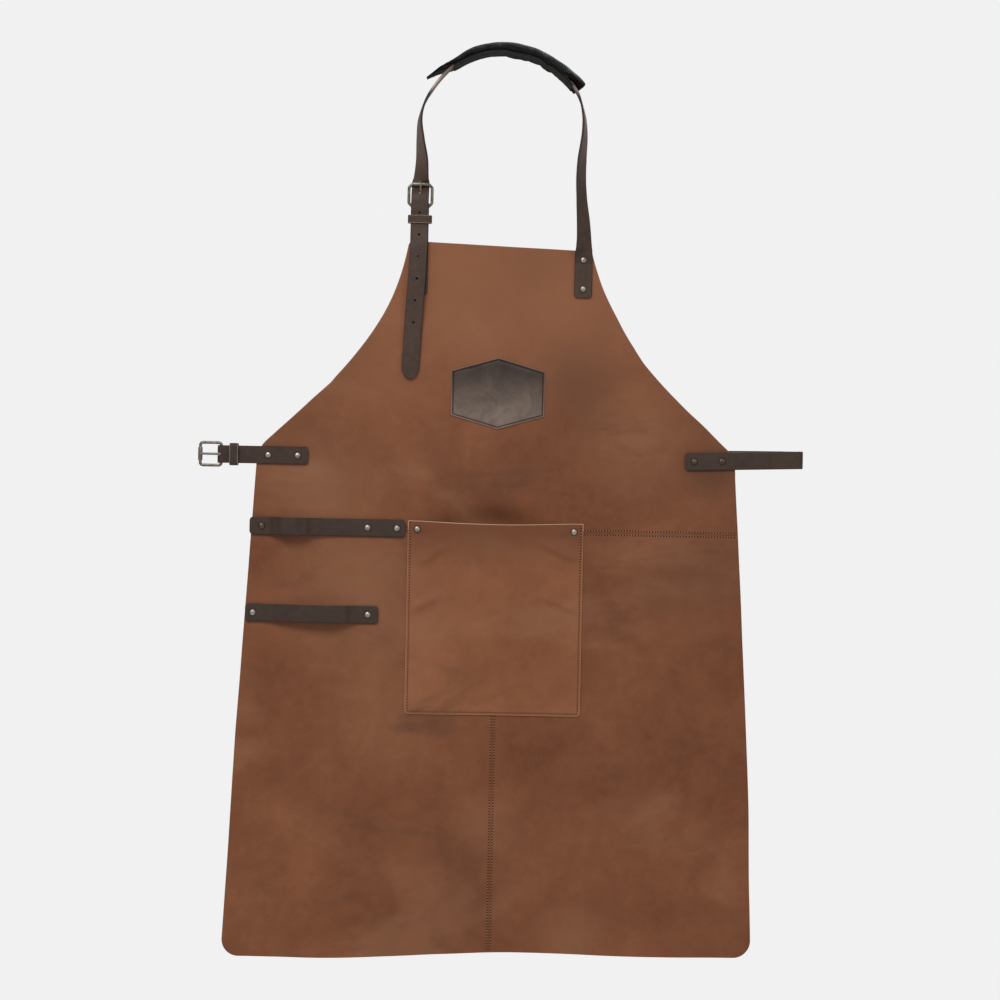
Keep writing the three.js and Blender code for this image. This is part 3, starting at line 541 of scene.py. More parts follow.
# On the bib the band is painted light: the leather turns lighter towards the top of the bib, as if lit from
# above. On the pocket the band darkens its top.
BROWN = brown_leather("brown_leather", srgb(104, 60, 36), srgb(138, 86, 57), srgb(143, 93, 64),
                      (-0.5, -0.24), 0.7)
POCKET_BROWN = brown_leather("pocket_leather", srgb(126, 77, 50), srgb(154, 99, 67), srgb(104, 62, 40),
                             (-0.60, -0.54), 0.75)
BROWN_BACK = suede("brown_flesh_side", srgb(96, 70, 54), srgb(128, 98, 78))
BROWN_EDGE = cut_edge("brown_cut_edge", srgb(140, 96, 68), srgb(172, 124, 92))
STRAP = strap_leather()
STRAP_BACK = suede("strap_flesh_side", srgb(48, 39, 33), srgb(74, 61, 52))
NECK_EDGE = graded_edge("neck_strap_edge", (srgb(42, 32, 27), srgb(66, 50, 41)),
                        (srgb(168, 140, 124), srgb(206, 182, 166)), (-0.05, -0.04))
POCKET_EDGE = graded_edge("pocket_cut_edge", (srgb(140, 96, 68), srgb(172, 124, 92)),
                          (srgb(176, 134, 104), srgb(210, 170, 140)), (-0.547, -0.541))
STRAP_EDGE = cut_edge("strap_burnished_edge", srgb(38, 29, 24), srgb(62, 47, 38), 0.45)
BADGE_FACE = badge_leather()
BADGE_EDGE = cut_edge("badge_cut_edge", srgb(126, 102, 84), srgb(168, 140, 118))
KEEPER_EDGE = cut_edge("keeper_cut_edge", srgb(128, 110, 96), srgb(172, 152, 134))
PAD = pad_leather()
PAD_LINING = lining_leather()
NICKEL = nickel("antique_nickel", srgb(138, 131, 121), srgb(92, 85, 76))
CAPS = [
    nickel("rivet_nickel", srgb(182, 174, 163), srgb(132, 122, 110)),
    nickel("rivet_tarnished", srgb(154, 144, 132), srgb(106, 95, 84)),
]
CAP_BROWNED = nickel("rivet_browned", srgb(112, 98, 86), srgb(74, 62, 52))
TARNISH_AND_SHADE_NICKEL = tarnish_and_shade_nickel()
THREAD = thread("tan_thread", srgb(150, 101, 70), srgb(184, 132, 97))
DARK_THREAD = thread("dark_thread", srgb(44, 31, 25), srgb(72, 52, 41))
SHADED_HOLE = needle_hole_painted_shade()


# ------------------------------------------------------------------ mesh building


class Piece:
    """Collects points, in millimetres, and faces, and makes one object of them."""

    def __init__(self, name):
        self.name = name
        self.points = []
        self.faces = []
        self.kinds = []

    def point(self, p):
        self.points.append(tuple(c * MM for c in p))
        return len(self.points) - 1

    def face(self, corners, kind=0):
        self.faces.append(corners)
        self.kinds.append(kind)

    def join(self, here, there, kind=0, closed=False):
        """A strip of faces between two rows of points; kind may be a function of the column."""
        for k in range(len(here) if closed else len(here) - 1):
            after = (k + 1) % len(here)
            which = kind(k) if callable(kind) else kind
            self.face((here[k], here[after], there[after], there[k]), which)

    def slab(self, outer, inner, inner_kind=0):
        """A closed slab between two grids of points; its rims are of kind 0."""
        for here, there in zip(outer, outer[1:]):
            self.join(here, there)
        for here, there in zip(inner, inner[1:]):
            self.join(there, here, inner_kind)
        self.join(inner[0], outer[0])
        self.join(outer[-1], inner[-1])
        self.join([row[0] for row in outer], [row[0] for row in inner])
        self.join([row[-1] for row in inner], [row[-1] for row in outer])

    def tube(self, rings, kind=0, caps=0):
        """A tube through rings of points, closed at both ends."""
        for here, there in zip(rings, rings[1:]):
            self.join(here, there, kind, closed=True)
        self.face(rings[0][::-1], caps)
        self.face(rings[-1], caps)

    def make(self, materials, sharp=48):
        mesh = bpy.data.meshes.new(self.name)
        mesh.from_pydata(self.points, [], self.faces)
        for material in materials:
            mesh.materials.append(material)
        mesh.polygons.foreach_set("material_index", self.kinds)
        obj = bpy.data.objects.new(self.name, mesh)
        bpy.context.scene.collection.objects.link(obj)
        tidy_normals(obj, sharp)
        return obj


def tidy_normals(obj, sharp=48):
    """Faces out, smooth, with edges sharper than an angle kept crisp."""
    bm = bmesh.new()
    bm.from_mesh(obj.data)
    bmesh.ops.recalc_face_normals(bm, faces=bm.faces)
    for face in bm.faces:
        face.smooth = True
    limit = math.radians(sharp)
    for edge in bm.edges:
        edge.smooth = not (len(edge.link_faces) == 2 and edge.calc_face_angle(0) > limit)
    bm.to_mesh(obj.data)
    bm.free()


def hang(obj, body, slot_name, *nodes):
    """Rides a piece on a body, and stands it in for CAD nodes."""
    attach(obj, body)
    if nodes:
        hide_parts(*nodes)
    return obj


def finish_modifiers(obj):
    """Applies every modifier, so that the mesh is final."""
    depsgraph = bpy.context.evaluated_depsgraph_get()
    mesh = bpy.data.meshes.new_from_object(obj.evaluated_get(depsgraph))
    obj.modifiers.clear()
    old = obj.data
    obj.data = mesh
    bpy.data.meshes.remove(old)


PUNCH_DEPTH = 9


def punch(obj, places, radius, reach=(0, 0)):
    """Punches holes along Y at (x, y, z) places, lined with the piece's edge material.

    A hole is round, or a slot whose ends stand `reach` to each side of its middle.
    """
    cutter = Piece("cutter")
    for x, y, z in places:
        rings = []
        for y_end in (y - PUNCH_DEPTH, y + PUNCH_DEPTH):
            ring = []
            for c, s in circle(24):
                side = 1 if reach[0] * c + reach[1] * s > -1e-9 else -1
                ring.append(cutter.point((x + radius * c + side * reach[0], y_end,
                                          z + radius * s + side * reach[1])))
            rings.append(ring)
        cutter.join(rings[0], rings[1], 2, closed=True)
        cutter.face(rings[0], 2)
        cutter.face(rings[1][::-1], 2)
    tool = cutter.make(list(obj.data.materials))
    modifier = obj.modifiers.new("holes", "BOOLEAN")
    modifier.object = tool
    modifier.operation = "DIFFERENCE"
    modifier.solver = "EXACT"
    finish_modifiers(obj)
    bpy.data.objects.remove(tool)
    tidy_normals(obj, 40)


# ------------------------------------------------------------------ leather sheets

# How a sheet's rim runs from its front face to its back one: (share of the inset, share of the depth).
CUT_RIM = [(0, 0), (0.8, 0.06), (1, 0.22), (1, 0.5), (1, 0.78), (0.8, 0.94), (0, 1)]
ROLLED_RIM = [(0, 0), (0.5, 0.07), (0.87, 0.25), (1, 0.5), (0.87, 0.75), (0.5, 0.93), (0, 1)]
FRONT, BACK, EDGE = 0, 1, 2
CUT_BEVEL = 0.35
ROLLED_INSET = 0.6


def leather_sheet(name, outline, place, thickness, materials, rolled=(), doubled=None, bevel=CUT_BEVEL):
    """A closed leather sheet over a grid.

    outline is a grid of (x, z) cut positions, rows from the top down and columns from the left.
    place(x, z, depth) gives the point at a depth behind the front face. rolled holds the sides, of
    'top', 'bottom', 'left', 'right', whose edge is turned back on itself, and doubled(x, z) tells
    where that turned leather doubles the sheet. A bevel wider than the usual one shows the raw edge.
    """
    piece = Piece(name)
    last_row, last_column = len(outline) - 1, len(outline[0]) - 1
    inset = {side: (ROLLED_INSET if side in rolled else bevel) for side in ("top", "bottom", "left", "right")}
    skived = bevel > CUT_BEVEL

    def pulled_in(row, column):
        x, z = outline[row][column]
        if row == 0:
            z -= inset["top"]
        if row == last_row:
            z += inset["bottom"]
        if column == 0:
            x += inset["left"]
        if column == last_column:
            x -= inset["right"]
        return x, z

    def depth(x, z):
        return thickness + (PANEL_T if doubled and doubled(x, z) else 0)

    grid = [[pulled_in(r, c) for c in range(last_column + 1)] for r in range(last_row + 1)]
    front = [[piece.point(place(x, z, 0)) for x, z in row] for row in grid]
    back = [[piece.point(place(x, z, depth(x, z))) for x, z in row] for row in grid]

    def back_kind(r, c):
        near, far = grid[r][c], grid[r + 1][c + 1]
        states = [bool(doubled and doubled(x, z)) for x in (near[0], far[0]) for z in (near[1], far[1])]
        if all(states):
            return FRONT
        return EDGE if any(states) else BACK

    for r in range(last_row):
        piece.join(front[r], front[r + 1], FRONT)
        piece.join(back[r + 1], back[r], lambda c: back_kind(r, c))

    ring = [(0, c) for c in range(last_column)] + [(r, last_column) for r in range(last_row)]
    ring += [(last_row, c) for c in range(last_column, 0, -1)] + [(r, 0) for r in range(last_row, 0, -1)]
    sides = ["top"] * last_column + ["right"] * last_row + ["bottom"] * last_column + ["left"] * last_row
    loops = [[front[r][c] for r, c in ring]]
    for level in range(1, len(CUT_RIM) - 1):
        loop = []
        for (r, c), side in zip(ring, sides):
            out, down = (ROLLED_RIM if side in rolled else CUT_RIM)[level]
            near, far = grid[r][c], outline[r][c]
            x, z = lerp(near[0], far[0], out), lerp(near[1], far[1], out)
            loop.append(piece.point(place(x, z, depth(*near) * down)))
        loops.append(loop)
    loops.append([back[r][c] for r, c in ring])
    for level, (here, there) in enumerate(zip(loops, loops[1:])):
        end_kind = FRONT if level == 0 and not skived else BACK if level == len(loops) - 2 else EDGE
        piece.join(there, here, lambda k: FRONT if sides[k] in rolled else end_kind, closed=True)
    return piece.make(materials)


GRID = 4.0


def spread(a, b, spacing=GRID):
    return steps(a, b, max(1, math.ceil(abs(b - a) / spacing)))


def stitch_dip(distance, depth=0.22, width=1.0):
    """How far thread pulls the leather in, at a distance from its row."""
    return depth * math.exp(-(distance / width) ** 2)


SEAM_ROW_ABOVE = -543.0
SEAM_ROW_BELOW = -547.7
SEAM_ROW_RIGHT = SEAM_X + 2.0
SEAM_ROW_LEFT = SEAM_X - 2.0
SEAM_GAP = -0.3


def panel_relief(x, z):
    """Dips along the seam rows, a swell between them, and fine unevenness."""
    dip = stitch_dip(z - SEAM_ROW_ABOVE) + stitch_dip(z - SEAM_ROW_BELOW)
    if z < SEAM_Z:
        dip += stitch_dip(x - SEAM_ROW_LEFT) + stitch_dip(x - SEAM_ROW_RIGHT)
    return dip + 0.12 * noise.noise(Vector((x / 14, z / 17, 8.0)))


def pocket_hollow(x, z):
    """How far the apron stands back behind the pocket's open mouth."""
    side = clamp(1 - ((x - POCKET_X) / (POCKET_W / 2 - 12)) ** 2)
    return POCKET_HOLLOW * side ** 2 * smoothstep(-510, -537, z) * smoothstep(-680, -560, z)


def panel_place(x, z, depth):
    """Where a panel's cut position (x, z) hangs, at a depth behind its front face."""
    y = drape(x, z) + FRONT_Y + depth + pocket_hollow(x, z)
    if depth < PANEL_T / 2:
        y += panel_relief(x, z) * (1 - depth / (PANEL_T / 2))
    hung_x, hung_z = hung(x, z)
    return (hung_x, y, hung_z)


def seam_rows(near, away):
    """Row distances beside a turned seam: fine at the stitches, a step at the turning's edge."""
    return [near, near + away * 1.0, near + away * 1.7, near + away * 2.4, near + away * 3.1,
            near + away * 4.2, near + away * 6.4, near + away * (SEAM_TURNING - 0.2),
            near + away * (SEAM_TURNING + 0.2)]


def make_panels():
    materials = [BROWN, BROWN_BACK, BROWN_EDGE]
    seam_top = SEAM_Z + SEAM_GAP / 2
    seam_bottom = SEAM_Z - SEAM_GAP / 2
    bib_rows = [BIB_TOP_Z, BIB_TOP_Z - 1.2, BIB_TOP_Z - 2.6, BIB_EDGE_Z]
    bib_rows += spread(BIB_EDGE_Z, SEAM_Z + SEAM_TURNING + 0.4)[1:] + seam_rows(seam_top, 1)[-2::-1]
    skirt_rows = seam_rows(seam_bottom, -1)
    skirt_rows += spread(skirt_rows[-1], HEM_Z + HEM_CORNER)[1:]
    corner = [math.sin(math.radians(a)) for a in (9, 18, 27, 36, 46, 56, 66, 76, 84, 90)]
    skirt_rows += [HEM_Z + HEM_CORNER * (1 - part) for part in corner]

    shares = steps(0, 1, 130)
    bib = [[(lerp(-half_width(z), half_width(z), s), z) for s in shares] for z in bib_rows]
    panels = [leather_sheet(
        "bib_leather", bib, panel_place, PANEL_T, materials, ("bottom",),
        lambda x, z: z - SEAM_Z < SEAM_TURNING + 0.1)]

    skirts = []
    for side, name in ((1, "right"), (-1, "left")):
        near = SEAM_X + side * SEAM_GAP / 2
        columns = seam_rows(near, side)
        rows = []
        for z in skirt_rows:
            rest = [lerp(columns[-1], side * half_width(z), s) for s in steps(0, 1, 72)[1:]]
            line = [(x, z) for x in columns + rest]
            rows.append(line if side > 0 else line[::-1])
        skirts.append(rows)
        panels.append(leather_sheet(
            f"skirt_{name}_leather", rows, panel_place, PANEL_T, materials,
            ("top", "left" if side > 0 else "right"),
            lambda x, z, s=side: SEAM_Z - z < SEAM_TURNING + 0.1 or s * (x - SEAM_X) < SEAM_TURNING + 0.1))

    skirt_flat = ((HEM_HALF + SEAM_X) * MM, (SEAM_Z - HEM_Z) * MM)
    sizes = [(2 * half_width(SEAM_Z) * MM, (BIB_TOP_Z - SEAM_Z) * MM), skirt_flat, skirt_flat]
    nodes = ["bib_panel", "skirt_right_panel", "skirt_left_panel"]
    outlines = [bib, *skirts]
    for obj, node, flat, outline in zip(panels, nodes, sizes, outlines):
        hang(obj, "apron", "apron_leather", node)


# ------------------------------------------------------------------ stitches

THREAD_R = 0.36
THREAD_SUNK = 0.06

# A stitch's length: (share of it from the middle, share of the thread's radius, lift).
STITCH_PROFILE = [(-0.29, 0.3, -0.3), (-0.22, 0.8, -0.08), (-0.11, 1, 0.1), (0, 1.04, 0.16),
                  (0.11, 1, 0.1), (0.22, 0.8, -0.08), (0.29, 0.3, -0.3)]


def stitch_row(piece, path, place, pitch):
    """Thread segments and needle holes along a line of (x, z) cut positions.

    place(x, z, depth) gives the surface, and each stitch runs from one needle hole to the next.
    """
    legs = list(zip(path, path[1:]))
    total = sum(math.dist(a, b) for a, b in legs)
    count = max(2, round(total / pitch))

    def at(distance):
        left = clamp(distance, 0, total)
        for a, b in legs:
            long = math.dist(a, b)
            if left <= long:
                break
            left -= long
        part = min(left / long, 1)
        return Vector(place(lerp(a[0], b[0], part), lerp(a[1], b[1], part), 0))

    for i in range(count):
        start, end = at(total * i / count), at(total * (i + 1) / count)
        along = (end - start).normalized()
        side = along.cross(Y).normalized()
        out = side.cross(along).normalized()
        if out.y > 0:
            out = -out
        long = (end - start).length
        center = (start + end) / 2 + out * (THREAD_R * 0.55 - THREAD_SUNK)
        rings = []
        for share, fat, lift in STITCH_PROFILE:
            hub, r = center + along * (share * long) + out * lift, THREAD_R * fat
            rings.append([piece.point(hub + side * (r * c) + out * (r * s)) for c, s in circle(7)])
        piece.tube(rings)
        needle_mark(piece, start, along, side, out)
    needle_mark(piece, at(total), along, side, out)


def needle_mark(piece, center, along, side, out):
    """A low dimple where the needle went through, coloured dark as painted shade of the hole."""
    rim, low = (
        [piece.point(center + out * rise + along * (wide * c) + side * (deep * s)) for c, s in circle(10)]
        for rise, wide, deep in ((0.18, 0.72, 0.9), (-0.3, 0.45, 0.54))
    )
    top = piece.point(center + out * 0.22)
    for k in range(len(rim)):
        piece.face((rim[k], rim[(k + 1) % len(rim)], top), 1)
    piece.join(rim, low, 1, closed=True)
    piece.face(low[::-1], 1)


def seam_thread(name, rows, place, slot_name, pitch=STITCH_PITCH, material=THREAD):
    """Rows of stitches, each a line of (x, z) cut positions, as one piece on the apron."""
    piece = Piece(name)
    for row in rows:
        stitch_row(piece, row, place, pitch)
    return hang(piece.make([material, SHADED_HOLE], sharp=70), "apron", slot_name)


def make_seams():
    edge = half_width(SEAM_Z) - 4
    pocket_left, pocket_right = POCKET_X - POCKET_W / 2, POCKET_X + POCKET_W / 2
    belly = []
    for z in (SEAM_ROW_ABOVE, SEAM_ROW_BELOW):
        belly.append([(x, z) for x in spread(-edge, pocket_left - 1.5, 6)])
        belly.append([(x, z) for x in spread(pocket_right + 1.5, edge, 6)])
    seam_thread("belly_seam_thread", belly, panel_place, "apron_leather")
    low = POCKET_TOP - POCKET_H - 1.5
    center = [
        [(x, z) for z in spread(low, HEM_Z + 4, 6)] for x in (SEAM_ROW_LEFT, SEAM_ROW_RIGHT)
    ]
    seam_thread("center_seam_thread", center, panel_place, "apron_leather")


# ------------------------------------------------------------------ pocket

POCKET_X = 2.0
POCKET_TOP = -535.5
POCKET_W = 200.0
POCKET_H = 220.0
POCKET_HOLLOW = 7.0
POCKET_UNEVEN = 1.3
POCKET_LIFT = 0.12
MOUTH_SAG = 2.4


def pocket_stand(x, z):
    """How far the pocket's mouth bows out from the apron."""
    side = clamp(abs(x - POCKET_X) / (POCKET_W / 2 - 14))
    depth = clamp((POCKET_TOP - z) / (POCKET_H - 10))
    return POCKET_BULGE * (1 - side ** 2) ** 1.5 * (1 - depth ** 1.5)


def crease(x, z, a, b, width, height):
    """A rounded ridge along the line from a to b, fading at both ends."""
    along = Vector((b[0] - a[0], b[1] - a[1]))
    from_a = Vector((x - a[0], z - a[1]))
    share = from_a.dot(along) / along.length_squared
    across = (from_a - along * share).length
    fade = smoothstep(-0.1, 0.35, share) * (1 - smoothstep(0.65, 1.1, share))
    return height * fade * math.exp(-(across / width) ** 2)


# The pocket's ridges, each (one end, other end, width, height); the last two are hollows.
POCKET_CREASES = [
    ((-54, -561), (-88, -587), 4.4, 3.0),
    ((-58, -619), (-98, -640), 4.4, 2.8),
    ((52, -556), (101, -580), 4.4, 3.2),
    ((54, -618), (101, -637), 4.4, 3.4),
    ((30, -722), (50, -712), 6.0, 1.4),
    ((-70, -556), (-92, -548), 5.0, -1.0),
    ((70, -556), (92, -548), 5.0, -1.0),
]


def pocket_edge_distance(x, z):
    """Distance from the nearest of the pocket's three stitched edges."""
    side = POCKET_W / 2 - abs(x - POCKET_X)
    return min(side, z - (POCKET_TOP - POCKET_H))


def pocket_place(x, z, depth):
    """Where the pocket's cut position (x, z) stands, at a depth behind its front face."""
    stand = pocket_stand(x, z)
    lift = sum(crease(x, z, *line) for line in POCKET_CREASES)
    inside = smoothstep(3, 12, pocket_edge_distance(x, z))
    dip = stitch_dip(pocket_edge_distance(x, z) - POCKET_EDGE_STITCH, 0.3)
    surface = drape(x, z) + FRONT_Y - POCKET_LIFT - POCKET_T - stand - lift * inside
    surface += POCKET_UNEVEN * inside * noise.noise(Vector((x / 38, z / 46, 21.0)))
    if depth < POCKET_T / 2:
        surface += dip
    mouth = clamp(1 - ((x - POCKET_X) / (POCKET_W / 2 - 8)) ** 2)
    sag = MOUTH_SAG * mouth ** 1.5 * smoothstep(POCKET_TOP - 70, POCKET_TOP, z)
    return (x, surface + depth, z - hem_sag(x, z) - sag)


def make_pocket():
    materials = [POCKET_BROWN, BROWN_BACK, POCKET_EDGE]
    corner_r = 4.0
    low = POCKET_TOP - POCKET_H
    near_edge = [0, 1, 2, 3, 4, 5.2, 7, 9.5]
    columns = near_edge + spread(9.5, POCKET_W - 9.5, 2.6)[1:-1]
    columns += [POCKET_W - d for d in near_edge[::-1]]
    rows = spread(POCKET_TOP, low + 9.5, 2.6) + [low + d for d in near_edge[-2::-1]]
    grid = []
    for z in rows:
        above = z - low
        cut_in = 0 if above > corner_r else corner_r - math.sqrt(corner_r ** 2 - (corner_r - above) ** 2)
        half = POCKET_W / 2 - cut_in
        line = []
        for c in columns:
            offset = c - POCKET_W / 2
            reach = abs(offset) / (POCKET_W / 2)
            line.append((POCKET_X + offset * lerp(1, half / (POCKET_W / 2), reach ** 8), z))
        grid.append(line)
    pocket = leather_sheet("pocket_leather", grid, pocket_place, POCKET_T, materials, bevel=0.7)
    hang(pocket, "apron", "apron_leather", "pocket")
    inset = POCKET_EDGE_STITCH
    left, right = POCKET_X - POCKET_W / 2 + inset, POCKET_X + POCKET_W / 2 - inset
    turn = 2.5
    path = [(left, z) for z in spread(POCKET_TOP - 2, low + inset + turn, 5)]
    path += [(left + turn * 0.3, low + inset + turn * 0.3)]
    path += [(x, low + inset) for x in spread(left + turn, right - turn, 5)]
    path += [(right - turn * 0.3, low + inset + turn * 0.3)]
    path += [(right, z) for z in spread(low + inset + turn, POCKET_TOP - 2, 5)]
    seam_thread("pocket_thread", [path], pocket_place, "apron_leather")


# ------------------------------------------------------------------ badge


def make_badge():
    """A hexagonal leather patch, stitched round its edge; `side` is half the height of its two ends."""
    center_x, _, center_z = middle("badge_patch")
    low, high = extent("badge_patch")
    half_w, half_h = (high[0] - low[0]) / 2, (high[2] - low[2]) / 2
    side = 25.5
    corners = [Vector(c) for c in ((0, half_h), (half_w, side), (half_w, -side), (0, -half_h),
                                   (-half_w, -side), (-half_w, side))]
    walls = [(a, (b - a).normalized()) for a, b in zip(corners, corners[1:] + corners[:1])]

    def edge_distance(x, z):
        here = Vector((x - center_x, z - center_z))
        return min(abs((here - a).cross(way)) for a, way in walls)

    def inset_outline(inset, per_side):
        """The outline pulled in by a distance, with the same number of points each time."""
        pulled = []
        count = len(corners)
        for k in range(count):
            before, after = walls[k - 1][1], walls[k][1]
            turn = before.angle(after)
            inwards = (after - before).normalized()
            pulled.append(corners[k] + inwards * (inset / math.cos(turn / 2)))
        points = []
        for a, b in zip(pulled, pulled[1:] + pulled[:1]):
            points += [a.lerp(b, t) for t in steps(0, 1, per_side)[:-1]]
        return points

    def surface(x, z, depth):
        swell = 0.35 * (1 - smoothstep(0, 7, edge_distance(x, z)))
        dip = stitch_dip(edge_distance(x, z) - BADGE_EDGE_STITCH, 0.35)
        dip -= 0.3 * noise.noise(Vector((x / 22, z / 22, 5.0)))
        return (x, drape(x, z) + FRONT_Y - 0.1 - BADGE_T + swell + dip + depth, z)

    piece = Piece("badge_leather")
    per_side = 24
    loops = []
    for inset, drop in ((0, BADGE_T * 0.8), (0, 0.9), (0.12, 0.45), (0.4, 0.14), (0.8, 0.02), (1.3, 0),
                        (1.8, 0), (2.3, 0), (2.8, 0), (3.4, 0), (4.4, 0), (6.4, 0), (9, 0)):
        loops.append([
            piece.point(surface(center_x + p.x, center_z + p.y, drop)) for p in inset_outline(inset, per_side)
        ])
    inner = inset_outline(9, per_side)
    for share in (0.88, 0.76, 0.64, 0.52, 0.4, 0.28, 0.16, 0.06):
        loops.append([
            piece.point(surface(center_x + p.x * share, center_z + p.y * share, 0)) for p in inner
        ])
    back = []
    for p in inset_outline(0.1, per_side):
        x, z = center_x + p.x, center_z + p.y
        back.append(piece.point((x, drape(x, z) + FRONT_Y - 0.08, z)))
    piece.join(back, loops[0], 2, closed=True)
    for level, (here, there) in enumerate(zip(loops, loops[1:])):
        piece.join(here, there, 2 if level < 3 else 0, closed=True)
    piece.face(loops[-1], 0)
    piece.face(back[::-1], 1)
    badge = hang(piece.make([BADGE_FACE, BROWN_BACK, BADGE_EDGE]), "apron", "badge_leather", "badge_patch")
    row = [(center_x + p.x, center_z + p.y) for p in inset_outline(BADGE_EDGE_STITCH, 1)]
    row.append(row[0])
    seam_thread("badge_thread", [row], surface, "badge_leather", BADGE_STITCH_PITCH, DARK_THREAD)


# ------------------------------------------------------------------ straps


def strap_section(width, thickness, corner=0.8, crown=0.12):
    """A strap's section as (u, v, kind of the face after it), with grain at -v and flesh at +v."""
    half, deep = width / 2, thickness / 2
    flat = half - corner
    arc = [(corner * math.sin(a), corner * (1 - math.cos(a))) for a in map(math.radians, (30, 60, 90))]

    def row(start, end, bulge, face, kind):
        line = [(u, face * deep + bulge * (u / half) ** 2, kind) for u in steps(start, end, 6)]
        return line[:-1] + [(*line[-1][:2], EDGE)]

    def rim(side, face):
        """A rim's rounding, from a face (-1 is the grain) to the middle of the edge."""
        return [(side * (flat + out), face * (deep - down), EDGE) for out, down in arc]

    points = row(-flat, flat, crown, -1, FRONT) + rim(1, -1) + rim(1, 1)[::-1]
    return points + row(flat, -flat, 0, 1, BACK) + rim(-1, 1) + rim(-1, -1)[::-1]


class Ribbon:
    """A flat strap along a route: stations every `spacing`, with a width direction u."""

    def __init__(self, route, across, twist=None, spacing=1.6):
        self.line = catmull(route, spacing)
        self.along = [0.0]
        for a, b in zip(self.line, self.line[1:]):
            self.along.append(self.along[-1] + (b - a).length)
        self.length = self.along[-1]
        self.across = across
        self.twist = twist

    def station(self, distance):
        k = 0
        while k < len(self.line) - 2 and self.along[k + 1] < distance:
            k += 1
        span = self.along[k + 1] - self.along[k]
        t = clamp((distance - self.along[k]) / span)
        p = self.line[k].lerp(self.line[k + 1], t)
        before = self.line[k] - self.line[max(k - 1, 0)] if k else self.line[1] - self.line[0]
        here = self.line[k + 1] - self.line[k]
        after = self.line[min(k + 2, len(self.line) - 1)] - self.line[min(k + 1, len(self.line) - 2)]
        start, end = (before.normalized() + here.normalized()), (here.normalized() + after.normalized())
        tangent = start.lerp(end, t).normalized()
        u = (self.across - tangent * self.across.dot(tangent)).normalized()
        v = tangent.cross(u)
        if self.twist:
            turn = Matrix.Rotation(-math.radians(self.twist(p)), 3, tangent)
            u, v = turn @ u, turn @ v
        return p, u, v


CORNER_R = 4.0
POINT_LENGTH = 14.0

# A strap's ends thin to this share of its thickness, over this distance.
END_T = 0.78
END_SOFT = 0.6

# Distances of the extra stations that shape each kind of strap end.
END_MARKS = {"square": [0.25, 0.6], "corners": [0.1, 0.35, 0.8, 1.4, 2.2, 3.1, CORNER_R],
             "point": [0.1, 0.4, 1, 1.8, 3, 4.5, 6.2, 8.2, 10.4, 12.4, POINT_LENGTH]}


def end_share(distance, kind):
    """Half-width, as a share of the full one, at a distance from a shaped end."""
    half = STRAP_W / 2
    if kind == "corners" and distance < CORNER_R:
        return (half - CORNER_R + math.sqrt(CORNER_R ** 2 - (CORNER_R - distance) ** 2)) / half
    if kind == "point" and distance < POINT_LENGTH:
        return max(math.sqrt(1 - ((POINT_LENGTH - distance) / POINT_LENGTH) ** 2), 0.1)
    return 1.0


def strap(name, ribbon, ends, spacing=1.6, edge=STRAP_EDGE):
    """A leather strap swept along a ribbon."""
    section = strap_section(STRAP_W, STRAP_T)
    length = ribbon.length
    marks = sorted({*steps(0, length, round(length / spacing)), *END_MARKS[ends[0]],
                    *(length - d for d in END_MARKS[ends[1]])})
    marks = [m for i, m in enumerate(marks) if i == 0 or m - marks[i - 1] > 0.08]
    piece = Piece(name)
    rings = []
    for mark in marks:
        p, u, v = ribbon.station(mark)
        share = min(end_share(mark, ends[0]), end_share(length - mark, ends[1]))
        soft = clamp(min(mark, length - mark) / END_SOFT)
        thin = lerp(END_T, 1, math.sqrt(1 - (1 - soft) ** 2))
        rings.append([piece.point(p + u * (a * share) + v * (b * thin)) for a, b, _ in section])
    kinds = [kind for _, _, kind in section]
    piece.tube(rings, lambda k: kinds[k], EDGE)
    return piece.make([STRAP, STRAP_BACK, edge])


def blended_strap(obj, ribbon, bodies, start, end, nodes, held="hung"):
    """Bakes a strap's placement into its mesh, and stands it in for CAD nodes."""
    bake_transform(obj)
    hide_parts(*nodes)


NECK_X = 96.0
BUCKLE_X = -91.3
NECK_END_Z = -278.0
NECK_HEEL_Z = -177.4
NECK_ROLLER_Z = -152.0
TAIL_TIP_Z = -374.0
FIRST_HOLE_Z = -185.0
HOLE_PITCH = 25.0
HOLE_R = 1.4
NECK_HOLES = 6
WAIST_HOLES = 7
WAIST_TIP_TO_HOLE = 60

